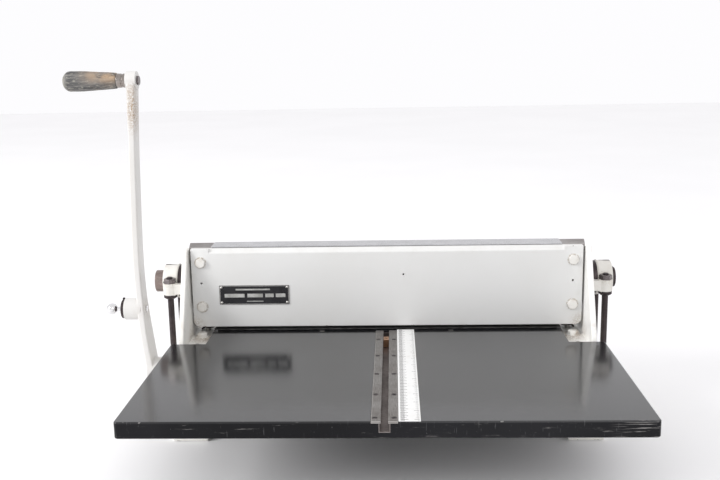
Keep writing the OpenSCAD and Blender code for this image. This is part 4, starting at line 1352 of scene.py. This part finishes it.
@dataclass
class NamePlate:
    """Black printed plate with a bare border, plain bars instead of words, and rivets."""

    border: float = 0.5 * MM
    inset: float = 0.7 * MM
    sunk: float = 0.25 * MM
    title: tuple[float, float] = (-0.002, 0.0082)
    title_size: tuple[float, float] = (0.050, 0.0022)
    fields: tuple[tuple[float, float], ...] = (
        (-0.0288, 0.0290), (0.0012, 0.0225), (0.0221, 0.0122), (0.0382, 0.0140),
    )
    field_z: float = -0.0008
    field_h: float = 5.4 * MM
    foot: tuple[float, float] = (0.001, -0.0094)
    foot_size: tuple[float, float] = (0.024, 0.0013)
    rivet_r: float = 2.0 * MM

    def _bar(self, x: float, z: float, width: float, height: float) -> Form:
        """One raised bar, placed from the plate's middle."""
        lo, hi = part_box("name_plate")
        cx, cz = (lo.x + hi.x) / 2 + x, (lo.z + hi.z) / 2 + z
        low = (cx - width / 2, lo.y - 0.02 * MM, cz - height / 2)
        high = (cx + width / 2, lo.y + self.sunk + 0.1 * MM, cz + height / 2)
        return Form.box("bar", low, high)

    def build(self) -> None:
        """Makes the plate, its border, bars and rivets."""
        lo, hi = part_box("name_plate")
        plate = Form.box("name_plate_black", lo, hi)
        plate.pick_faces(lambda centre, normal: normal.y < -0.9)
        bpy.ops.mesh.inset(thickness=self.inset + self.border, depth=-self.sunk)
        bpy.ops.object.mode_set(mode="OBJECT")
        plate.soften(0.08 * MM, 1)
        plate.done(Body.RAM.value, GLOSS_BLACK, "plate_print", "name_plate")
        rim, hole = (
            Form.box(name, (lo.x + edge, lo.y - proud, lo.z + edge), (hi.x - edge, lo.y + deep, hi.z - edge))
            for name, edge, proud, deep in (
                ("rim", self.inset, 0.03 * MM, 0.1 * MM), ("tool", self.inset + self.border, MM, MM),
            )
        )
        rim.cut(hole)
        bars = [self._bar(x, self.field_z, width, self.field_h) for x, width in self.fields]
        bars.append(self._bar(*self.title, *self.title_size))
        bars.append(self._bar(*self.foot, *self.foot_size))
        rim.joined(*bars)
        rim.obj.name = "name_plate_border_and_bars"
        silver = Turned((0.62, 0.62, 0.60), (0.36, 0.36, 0.34), 0.38, 0.6, 0.8)
        rim.done(Body.RAM.value, silver, "plate_print")
        rivets = []
        r = self.rivet_r
        dome = [(0.0, 0.0), (0.0, r)] + [(r * 0.5 * math.sin(a), r * math.cos(a)) for a in (0.5, 0.95, 1.3)]
        dome.append((r * 0.5, 0.0))
        for x in (lo.x + 3 * MM, hi.x - 3 * MM):
            for z in (lo.z + 3 * MM, hi.z - 3 * MM):
                rivet = Form.turned("rivet", [(-d, w) for d, w in dome], (x, lo.y, z), Axis.Y, 20)
                rivets.append(rivet)
        rivets[0].joined(*rivets[1:])
        rivets[0].obj.name = "name_plate_rivets"
        rivets[0].done(Body.RAM.value, BRIGHT, "bright_steel", "plate_rivets")


# ---------------------------------------------------------------- yokes and rods


@dataclass
class Yokes:
    """Painted yokes on the trunnions, their caps and collars, and the pull rods."""

    boss_in: float = 0.3065
    boss_out: float = 0.327
    boss_r: float = 25 * MM
    lug_z: float = 0.1735
    lug_h: float = 17 * MM
    lug_r: float = 10 * MM
    arm_in: float = 0.296
    collar_r: float = 24.5 * MM
    collar_bore: float = 12.02 * MM
    rod_r: float = 4.5 * MM
    nut_flats: float = 16 * MM
    nut_h: float = 6.9 * MM
    nut_zs: tuple[float, ...] = (0.1905, 0.05825, 0.02925)

    def yokes(self) -> None:
        """Makes the right yoke by joining its boss and lugs, and mirrors it."""
        top = self.lug_z + self.lug_h
        boss = (self.boss_in, 0, TRUNNION_Z)
        yoke = Form.rod("yoke", boss, self.boss_out - self.boss_in, self.boss_r, Axis.X, 64)
        bridge_end = (ROD_X + self.lug_r - 3 * MM, ROD_Y, top)
        yoke.add(Form.box("bridge", (self.boss_in, -ROD_Y, self.lug_z), bridge_end))
        for y in (-ROD_Y, ROD_Y):
            yoke.add(Form.rod("lug", (ROD_X, y, self.lug_z), self.lug_h, self.lug_r))
            reach = y + math.copysign(MM, y)
            arm_start = (self.arm_in, reach - 6 * MM, self.lug_z + MM)
            yoke.add(Form.box("arm", arm_start, (ROD_X, reach + 6 * MM, top - MM)))
        start = (self.arm_in - 4 * MM, 0, TRUNNION_Z)
        seat_r = self.collar_r + 0.1 * MM
        yoke.cut(Form.rod("tool", start, self.boss_in - start[0], seat_r, Axis.X, 64))
        oil = (ROD_X + 4 * MM, -1.2 * MM, TRUNNION_Z + self.boss_r - 1.5 * MM)
        yoke.cut(Form.box("tool", oil, (ROD_X + 10 * MM, 1.2 * MM, TRUNNION_Z + self.boss_r + MM)))
        yoke.soften(1.3 * MM, 3)
        left = yoke.copied("yoke", mirrored())
        for side, form in ((Side.RIGHT, yoke), (Side.LEFT, left)):
            form.obj.name = f"upper_yoke_{side.word}_cast"
            oiled = Patch((side.value * ROD_X, -ROD_Y, top), 16 * MM, strength=0.9)
            seam = Patch((side.value * ROD_X, -ROD_Y, self.lug_z), 9 * MM, strength=0.8)
            paint = replace(WORN_CREAM, wear=(oiled, seam))
            form.done(Body.RAM.value, paint, "cream_paint", f"upper_yoke_{side.word}")

    def caps(self) -> None:
        """Makes the thick left cap, the thin right cap with its tab, and the inner collars."""
        for side, finish, slot in ((Side.LEFT, BROWN_STEEL, "bare_steel"), (Side.RIGHT, BLUED, "dark_steel")):
            lo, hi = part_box(f"yoke_cap_{side.word}")
            length = hi.x - lo.x
            radius = 16.2 * MM if side is Side.LEFT else 14.5 * MM
            ease = 0.9 * MM
            profile = [
                (0, 0), (0, radius - 0.3 * MM), (0.3 * MM, radius), (length - ease, radius),
                (length - 0.3 * ease, radius - 0.35 * ease), (length, radius - ease), (length, 0),
            ]
            start = (lo.x if side is Side.RIGHT else hi.x, 0, TRUNNION_Z)
            cap = Form.turned("cap", [(side.value * d, r) for d, r in profile], start, Axis.X, 64)
            if side is Side.RIGHT:
                nub_z = TRUNNION_Z + 15 * MM
                nub = Form.rod("nub", (lo.x, -4 * MM, nub_z), 3 * MM, 2 * MM, Axis.X, 20)
                tab_low = (lo.x, -5.5 * MM, TRUNNION_Z + 11.5 * MM)
                tab = Form.box("tab", tab_low, (lo.x + 2.4 * MM, -2.5 * MM, nub_z))
                cap.add(nub, tab)
            cap.obj.name = f"yoke_cap_{side.word}_turned"
            cap.soften(0.15 * MM, 1)
            cap.done(Body.RAM.value, finish, slot, f"yoke_cap_{side.word}")
        collars = [self._collar(side) for side in Side]
        collars[0].joined(collars[1])
        collars[0].obj.name = "thrust_collars_blued"
        collars[0].done(Body.RAM.value, BLUED, "dark_steel", "thrust_collars")

    def _collar(self, side: Side) -> Form:
        """The dark collar between an upright and its yoke."""
        _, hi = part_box("thrust_collars")
        inner, ease = 0.293, 0.8 * MM
        length = hi.x - inner
        r, bore = self.collar_r, self.collar_bore
        ring = [(0, bore), (0, r - ease), (ease, r), (length - ease, r), (length, r - ease), (length, bore)]
        return Form.turned(
            "collar", [(side.value * d, w) for d, w in ring], (side.value * inner, 0, TRUNNION_Z), Axis.X, 64
        ).soften(0.2 * MM, 1)

    def _thread(self, start: float, end: float) -> list[tuple[float, float]]:
        """Rings of a thread along a rod, between two heights."""
        pitch, depth = 1.25 * MM, 0.45 * MM
        count = int((end - start) / pitch)
        points = []
        for i in range(count):
            points += [(start + i * pitch, self.rod_r), (start + (i + 0.5) * pitch, self.rod_r - depth)]
        return points

    def rods(self) -> None:
        """Makes the pull rods with threaded ends, their nuts and their shoulder collars."""
        low, high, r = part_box("pull_rods")[0].z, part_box("pull_rods")[1].z, self.rod_r
        profile = [(low, 0), (low, r - MM), (low + MM, r)]
        profile += self._thread(low + 1.5 * MM, 0.072)
        profile += [(0.073, r), (self.nut_zs[0] + 5 * MM, r)]
        profile += self._thread(self.nut_zs[0] + 6 * MM, high - 1.2 * MM)
        profile += [(high - 1.1 * MM, r - 0.1 * MM), (high, r - 1.2 * MM), (high, 0)]
        rod = Form.turned("rod", profile, (0, 0, 0), Axis.Z, 32).soften(0.1 * MM, 1, 60)
        nut = hexagon("nut", self.nut_flats, self.nut_h, r + 0.05 * MM)
        lug, drop = self.lug_r, 6 * MM
        ring = [
            (-drop, r), (-drop, lug - 3.5 * MM), (2 * MM - drop, lug - 0.5 * MM), (-0.5 * MM, lug - 0.5 * MM),
            (-0.1 * MM, lug - 0.9 * MM), (-0.1 * MM, r),
        ]
        collar = Form.turned("collar", ring, (0, 0, self.lug_z), Axis.Z, 48).soften(0.2 * MM, 1)
        groups: dict[str, list[Form]] = {"pull_rods": [], "rod_nuts": [], "rod_collars": []}
        for side in Side:
            for i, y in enumerate((-ROD_Y, ROD_Y)):
                place = (side.value * ROD_X, y, 0)
                groups["pull_rods"].append(rod.copied("rod", at(place)))
                groups["rod_collars"].append(collar.copied("collar", at(place)))
                for j, z in enumerate(self.nut_zs):
                    turn = Matrix.Rotation(math.radians(17 + 19 * i + 31 * j + 8 * side.value), 4, "Z")
                    groups["rod_nuts"].append(nut.copied("nut", at((place[0], y, z), turn)))
        for form in (rod, nut, collar):
            bpy.data.objects.remove(form.obj)
        for node, forms in groups.items():
            forms[0].joined(*forms[1:])
            forms[0].obj.name = f"{node}_blued"
            forms[0].done(Body.RAM.value, NUT_STEEL if node == "rod_nuts" else BLUED, "dark_steel", node)

    def build(self) -> None:
        """Makes the yokes, caps, collars, rods and nuts."""
        self.yokes()
        self.caps()
        self.rods()


# ---------------------------------------------------------------- lever


@dataclass
class Lever:
    """Bowed cast lever with its hub, head and plunger boss, modelled upright and leant back."""

    lean: float = 5.0
    reach: float = 0.437
    blade_t: float = 10.4 * MM
    blade_x: float = 0.372
    bow_low: float = 17.5 * MM
    bow_top: float = 3.0 * MM
    bow_s: float = 0.195
    flare: float = 0.090
    head_t: float = 15.5 * MM
    head_step: float = 3.2 * MM
    head_r: float = 13.5 * MM
    hub_r: float = 21.5 * MM
    latch_s: float = 0.0965
    latch_r: float = 16.5 * MM
    recess: float = 9.5 * MM
    recess_r: float = 16.3 * MM
    steps: int = 44

    @property
    def head_x(self) -> float:
        """Distance of the head's middle from the machine's middle."""
        return self.blade_x - self.bow_top + 0.5 * MM

    def place(self) -> Matrix:
        """From the upright lever to the lever at rest."""
        return at((0, 0, SHAFT_Z), Matrix.Rotation(math.radians(-self.lean), 4, "X"))

    def centre(self, s: float) -> float:
        """Distance of the blade's middle from the machine's middle, at a distance s from the shaft."""
        if s < self.bow_s:
            return self.blade_x - self.bow_low * ((self.bow_s - s) / self.bow_s) ** 2
        return self.blade_x - self.bow_top * ((s - self.bow_s) / (self.reach - self.bow_s)) ** 2

    def thickness(self, s: float) -> float:
        """Thickness of the blade, which grows towards the head."""
        grown = max(0.0, s - self.reach + self.flare) / self.flare
        return self.blade_t + (self.head_t - self.head_step - self.blade_t) * grown

    def depth(self, s: float) -> float:
        """Depth of the blade, front to back, which is greatest by the hub."""
        stations = ((0.0, 38 * MM), (0.058, 38 * MM), (0.118, 28 * MM), (self.reach, 26 * MM))
        for (s0, d0), (s1, d1) in zip(stations, stations[1:]):
            if s <= s1:
                return d0 + (d1 - d0) * (s - s0) / (s1 - s0)
        return stations[-1][1]

    def blade(self) -> Form:
        """Makes the bowed blade from a block cut into many steps."""
        blade = Form.box("lever_cast", (-0.5, -0.5, 0), (0.5, 0.5, 1))
        blade.pick_edges(lambda a, b: abs(a.z - b.z) > 0.5)
        bpy.ops.mesh.subdivide(number_cuts=self.steps)
        bpy.ops.object.mode_set(mode="OBJECT")
        for vertex in blade.obj.data.vertices:
            x, y, share = vertex.co
            s = share * self.reach
            vertex.co = (x * self.thickness(s) - self.centre(s), y * self.depth(s), s)
        return blade.round_edges(lambda a, b: abs(a.z - b.z) > NEAR, 2.6 * MM, 4)

    def casting(self) -> None:
        """Joins the blade with its hub, head and boss."""
        _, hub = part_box("lever")
        cap_lo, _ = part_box("latch_cap")
        hub_out = self.centre(0.0) + self.blade_t / 2 + 0.5 * MM
        latch_face = -cap_lo.x - cap_disc_thickness()
        blade = self.blade()
        blade.add(Form.rod("hub", (-hub_out, 0, 0), hub_out + hub.x, self.hub_r, Axis.X, 64))
        head_out = (-self.head_x - self.head_t / 2, 0, self.reach)
        blade.add(Form.rod("head", head_out, self.head_t, self.head_r, Axis.X, 56))
        inner = self.centre(self.latch_s)
        boss_out = (-latch_face, 0, self.latch_s)
        blade.add(Form.rod("boss", boss_out, latch_face - inner, self.latch_r, Axis.X, 64))
        blade.cut(
            Form.rod("tool", (-inner, 0, self.latch_s), 20 * MM, 5.1 * MM, Axis.X, 32),
            Form.rod("tool", (-hub_out - MM, 0, 0), self.recess + MM, self.recess_r, Axis.X, 48),
        )
        blade.soften(0.5 * MM, 3)
        blade.moved(self.place())
        head = self.place() @ Vector((-self.head_x, 0, self.reach))
        latch = self.place() @ Vector((-self.centre(self.latch_s), 0, self.latch_s))
        rub = Patch((head.x + 4 * MM, head.y - 13 * MM, head.z - 42 * MM), 31 * MM, (1.7, 1.0, 0.60), 1.0)
        neck = Patch((head.x, head.y - 10 * MM, head.z - 16 * MM), 14 * MM, (1, 1, 0.8), 0.5)
        ring = Patch(tuple(latch), 24 * MM, strength=0.45)
        paint = replace(SHADED_LEVER_CREAM, wear=(rub, neck, ring))
        blade.done(Body.LEVER.value, paint, "cream_paint", "lever")

    def latch(self) -> None:
        """Makes the cap of the plunger's boss and the plunger with its ball."""
        lo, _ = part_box("latch_cap")
        thick = cap_disc_thickness()
        r, bore, ease = 14.3 * MM, 3.6 * MM, 1.0 * MM
        face = lo.x + thick
        disc = [
            (0, bore), (0, r - 0.2 * MM), (-0.3 * MM, r), (ease - thick, r),
            (0.3 * ease - thick, r - 0.4 * ease), (-thick, r - ease), (-thick, bore),
        ]
        cap = Form.turned("latch_cap_blued", disc, (face, 0, self.latch_s), Axis.X, 56)
        cap.add(Form.rod("nub", (face - thick / 2, 0, self.latch_s + r - MM), 4 * MM, 2 * MM, Axis.Z, 20))
        cap.soften(0.25 * MM, 2).moved(self.place())
        cap.done(Body.LEVER.value, BLUED, "dark_steel", "latch_cap")
        low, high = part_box("plunger")
        ball = (high.z - low.z) / 2
        stem = 3.5 * MM
        middle = low.x + ball
        neck = math.asin(stem / ball)
        turns = 14
        arc = [math.pi * i / turns for i in range(turns + 1) if math.pi * i / turns < math.pi - neck - 0.1]
        profile = [(-math.cos(a) * ball, math.sin(a) * ball) for a in arc]
        joint = math.cos(neck) * ball
        tip = high.x - middle
        profile += [(joint, stem), (joint + 1.2 * MM, stem - 0.3 * MM), (joint + 2.4 * MM, stem)]
        pin, point = 5 * MM, 0.8 * MM
        step = face - middle + 8 * MM
        profile += [(face - middle, stem), (step, stem), (step, pin)]
        profile += [(tip - point, pin), (tip, pin - point), (tip, 0)]
        plunger = Form.turned("plunger_polished", profile, (middle, 0, self.latch_s), Axis.X, 40)
        plunger.soften(0.12 * MM, 1, 50).moved(self.place())
        plunger.done(Body.PLUNGER.value, CHROME, "plunger_chrome", "plunger")

    def build(self) -> None:
        """Makes the lever, its latch and its grip."""
        self.casting()
        self.latch()
        Grip(self).build()


def cap_disc_thickness() -> float:
    """Thickness of the latch cap's disc, without the spigot behind it."""
    spigot = 3 * MM
    lo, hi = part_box("latch_cap")
    return hi.x - lo.x - spigot


@dataclass
class Grip:
    """Turned wooden grip with its steel ferrule."""

    lever: Lever
    ferrule_len: float = 13.3 * MM
    length: float = 81 * MM
    radius: float = 14.9 * MM
    neck_r: float = 11.5 * MM
    spindle_r: float = 5.05 * MM

    def build(self) -> None:
        """Makes the wood, slightly uneven, and the grooved ferrule."""
        _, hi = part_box("grip_ferrule")
        centre = (hi.x, 0, self.lever.reach)
        dome = self.radius * 0.8
        body = self.length - dome
        wood = [
            (self.ferrule_len, 0), (self.ferrule_len, self.neck_r - MM),
            (self.ferrule_len + 0.6 * MM, self.neck_r),
        ]
        for i in range(1, 17):
            share = i / 16
            swell = self.neck_r + (self.radius - self.neck_r) * math.sin(math.pi / 2 * share)
            wood.append((self.ferrule_len + body * share, swell))
        for i in range(1, 12):
            turn = math.pi / 2 * i / 12
            wood.append((self.ferrule_len + body + dome * math.sin(turn), self.radius * math.cos(turn)))
        wood.append((self.ferrule_len + self.length, 0))
        grip = Form.turned("wooden_grip_turned", [(-d, r) for d, r in wood], centre, Axis.X, 64)
        grip.modify("SUBSURF", levels=1, render_levels=1)
        grip.rough_cast(0.012, 0.7 * MM)
        grip.moved(self.lever.place())
        _alone(grip.obj)
        bpy.ops.object.shade_smooth_by_angle(angle=math.radians(40))
        axis = self.lever.place() @ Vector(centre)
        lo, _ = grip.corners()
        finish = OldWood(axis=(axis.y, axis.z), end_x=lo.x, ferrule_x=hi.x - self.ferrule_len)
        grip.done(Body.GRIP.value, finish, "grip_wood", "wooden_grip")
        r, groove = self.neck_r - 1.2 * MM, 0.9 * MM
        ring = [
            (0, self.spindle_r), (0, r - 0.4 * MM), (0.4 * MM, r), (4 * MM, r), (4.6 * MM, r - groove),
            (6.2 * MM, r - groove), (6.8 * MM, r), (self.ferrule_len - 0.5 * MM, r + 0.3 * MM),
            (self.ferrule_len, r), (self.ferrule_len, self.spindle_r),
        ]
        ferrule = Form.turned("grip_ferrule_turned", [(-d, w) for d, w in ring], centre, Axis.X, 56)
        ferrule.soften(0.15 * MM, 1).moved(self.lever.place())
        steel = Turned((0.34, 0.31, 0.29), (0.20, 0.17, 0.15), 0.25, 1.0)
        ferrule.done(Body.GRIP.value, steel, "bare_steel", "grip_ferrule")


# ---------------------------------------------------------------- the rest of the machine


@dataclass
class Works:
    """Pieces that the frame already shapes: eased copies of castings, and dressed nodes."""

    eased: tuple[tuple[str, str, Any, str, float], ...] = (
        ("leg_left", "frame", CREAM, "cream_paint", 2.0 * MM),
        ("leg_right", "frame", CREAM, "cream_paint", 2.0 * MM),
        ("die_bed", "frame", BLACK_IRON, "black_iron", 1.8 * MM),
        ("table_arms", "frame", BLACK_IRON, "black_iron", 1.0 * MM),
        ("base_ties", "frame", BLACK_IRON, "black_iron", 0.6 * MM),
        ("tie_rod", "frame", BLACK_IRON, "black_iron", 0.6 * MM),
        ("tie_rod_nuts", "frame", BLUED, "black_iron", 0.4 * MM),
        # The stripper and die plates are near-black: painted shade in the gap under the ram.
        ("stripper_plate", "frame", GAP_SHADE_STEEL, "bare_steel", 0.4 * MM),
        ("die_plate", "frame", GAP_SHADE_STEEL, "bare_steel", 0.4 * MM),
        ("shaft_bushes", "frame", BRONZE, "bronze", 0.4 * MM),
        ("ram_beam", "ram", CREAM, "cream_paint", 2.0 * MM),
        ("punch_holder", "ram", GROUND_STEEL, "bare_steel", 0.5 * MM),
        ("lower_yoke_left", "ram", CREAM, "cream_paint", 1.0 * MM),
        ("lower_yoke_right", "ram", CREAM, "cream_paint", 1.0 * MM),
        ("eccentrics", "lever", GROUND_STEEL, "bare_steel", 0.5 * MM),
        ("stop_collar", "lever", GROUND_STEEL, "bare_steel", 0.8 * MM),
        ("lever_end_bolt", "lever", BRIGHT, "bare_steel", 0.4 * MM),
        ("grip_spindle", "lever", NUT_STEEL, "bare_steel", 0.1 * MM),
    )
    dressed: tuple[tuple[str, Any], ...] = (
        ("stop_pins", BRIGHT), ("bed_bolts", BLUED), ("stripper_screws", BRIGHT), ("foot_dowels", BRIGHT),
        ("crown_screws", BRIGHT), ("return_springs", BLUED), ("spring_pins", BRIGHT),
        ("table_screws", BRIGHT), ("slot_channel", DARK_CHANNEL), ("punches", BRIGHT),
        ("trunnion_left", BRIGHT), ("trunnion_right", BRIGHT),
        ("eccentric_shaft", GROUND_STEEL), ("shaft_keys", BRIGHT), ("plunger_spring", BRIGHT),
    )

    def build(self, nodes: dict[str, bpy.types.Object]) -> None:
        """Makes the eased copies and dresses the remaining nodes.

        Args:
            nodes: The frame's nodes by name.
        """
        for node, body, finish, slot, width in self.eased:
            Form.softened(f"{node}_eased", node, width).done(body, finish, slot, node)
        for node, finish in self.dressed:
            mesh = nodes[node].data
            lo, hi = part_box(node)
            mesh.materials.clear()
            mesh.materials.append(finish.material(f"{node}_finish", lo, hi))
            LOG.info("%s is dressed", node)


# ---------------------------------------------------------------- studio


@dataclass
class Studio:
    """Pale floor, white surroundings, soft lamps and the camera."""

    floor_size: float = 14.0
    floor_tone: Colour = (0.93, 0.925, 0.93)
    sky: float = 1.0
    camera_place: tuple[float, float, float] = (0.0132, -1.3171, 0.5190)
    yaw: float = -2.196
    pitch: float = 11.732
    roll: float = 1.068
    lens: float = 45.9

    def floor(self) -> None:
        """Makes the pale floor that the machine stands on."""
        bpy.ops.object.select_all(action="DESELECT")
        bpy.ops.mesh.primitive_plane_add(size=self.floor_size)
        floor = bpy.context.object
        floor.name = "floor"
        dress = Dress("floor_pale")
        tone = dress.mix(dress.noise(1.5, 3.0).fade(0.3, 0.7), self.floor_tone, (0.91, 0.905, 0.91))
        floor.data.materials.append(dress.finish(Base_Color=tone, Roughness=0.5))

    def lamp(self, name: str, place: Point, size: float, power: float, aim: Point = (0, 0, 0.15)) -> None:
        """Adds a square soft lamp.

        Args:
            name: The lamp's name.
            place: Where it hangs.
            size: Length of its side.
            power: Power in watts.
            aim: The point that it faces.
        """
        data = bpy.data.lights.new(name, "AREA")
        data.size = size
        data.energy = power
        lamp = bpy.data.objects.new(name, data)
        direction = Vector(aim) - Vector(place)
        lamp.matrix_world = at(place, direction.to_track_quat("-Z", "Y").to_matrix().to_4x4())
        bpy.context.scene.collection.objects.link(lamp)

    def sky_light(self) -> None:
        """Sets an even white surrounding."""
        world = bpy.data.worlds.new("white_room")
        world.use_nodes = True
        background = world.node_tree.nodes["Background"]
        background.inputs["Color"].default_value = (0.985, 0.98, 0.995, 1.0)
        background.inputs["Strength"].default_value = self.sky
        bpy.context.scene.world = world

    def camera(self) -> None:
        """Places the camera and makes it the scene's."""
        yaw, pitch, roll = (math.radians(v) for v in (self.yaw, self.pitch, self.roll))
        forward = Vector((math.sin(yaw) * math.cos(pitch), math.cos(yaw) * math.cos(pitch), -math.sin(pitch)))
        level = Vector((math.cos(yaw), -math.sin(yaw), 0))
        down = forward.cross(level)
        right = level * math.cos(roll) + down * math.sin(roll)
        up = level * math.sin(roll) - down * math.cos(roll)
        turn = Matrix((right, up, -forward)).transposed().to_4x4()
        data = bpy.data.cameras.new("camera")
        data.lens = self.lens
        camera = bpy.data.objects.new("camera", data)
        camera.matrix_world = at(self.camera_place, turn)
        bpy.context.scene.collection.objects.link(camera)
        bpy.context.scene.camera = camera

    def build(self) -> None:
        """Sets up the whole studio."""
        bpy.context.scene.view_settings.view_transform = "Standard"
        self.camera()
        self.sky_light()
        self.floor()
        self.lamp("key", (-4.0, -2.0, 2.2), 1.6, 140.0)
        self.lamp("front", (0.9, -2.9, 1.9), 1.6, 13.0)


def main() -> None:
    """Builds the looks around the frame."""
    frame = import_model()
    Studio().build()
    for assembly in (Table(), SideFrames(), Ram(), Yokes(), Lever()):
        assembly.build()
        LOG.info("%s is built", type(assembly).__name__)
    Works().build(frame["nodes"])


if __name__ == "__main__":
    logging.basicConfig(level=logging.INFO, format="%(message)s")
    main()
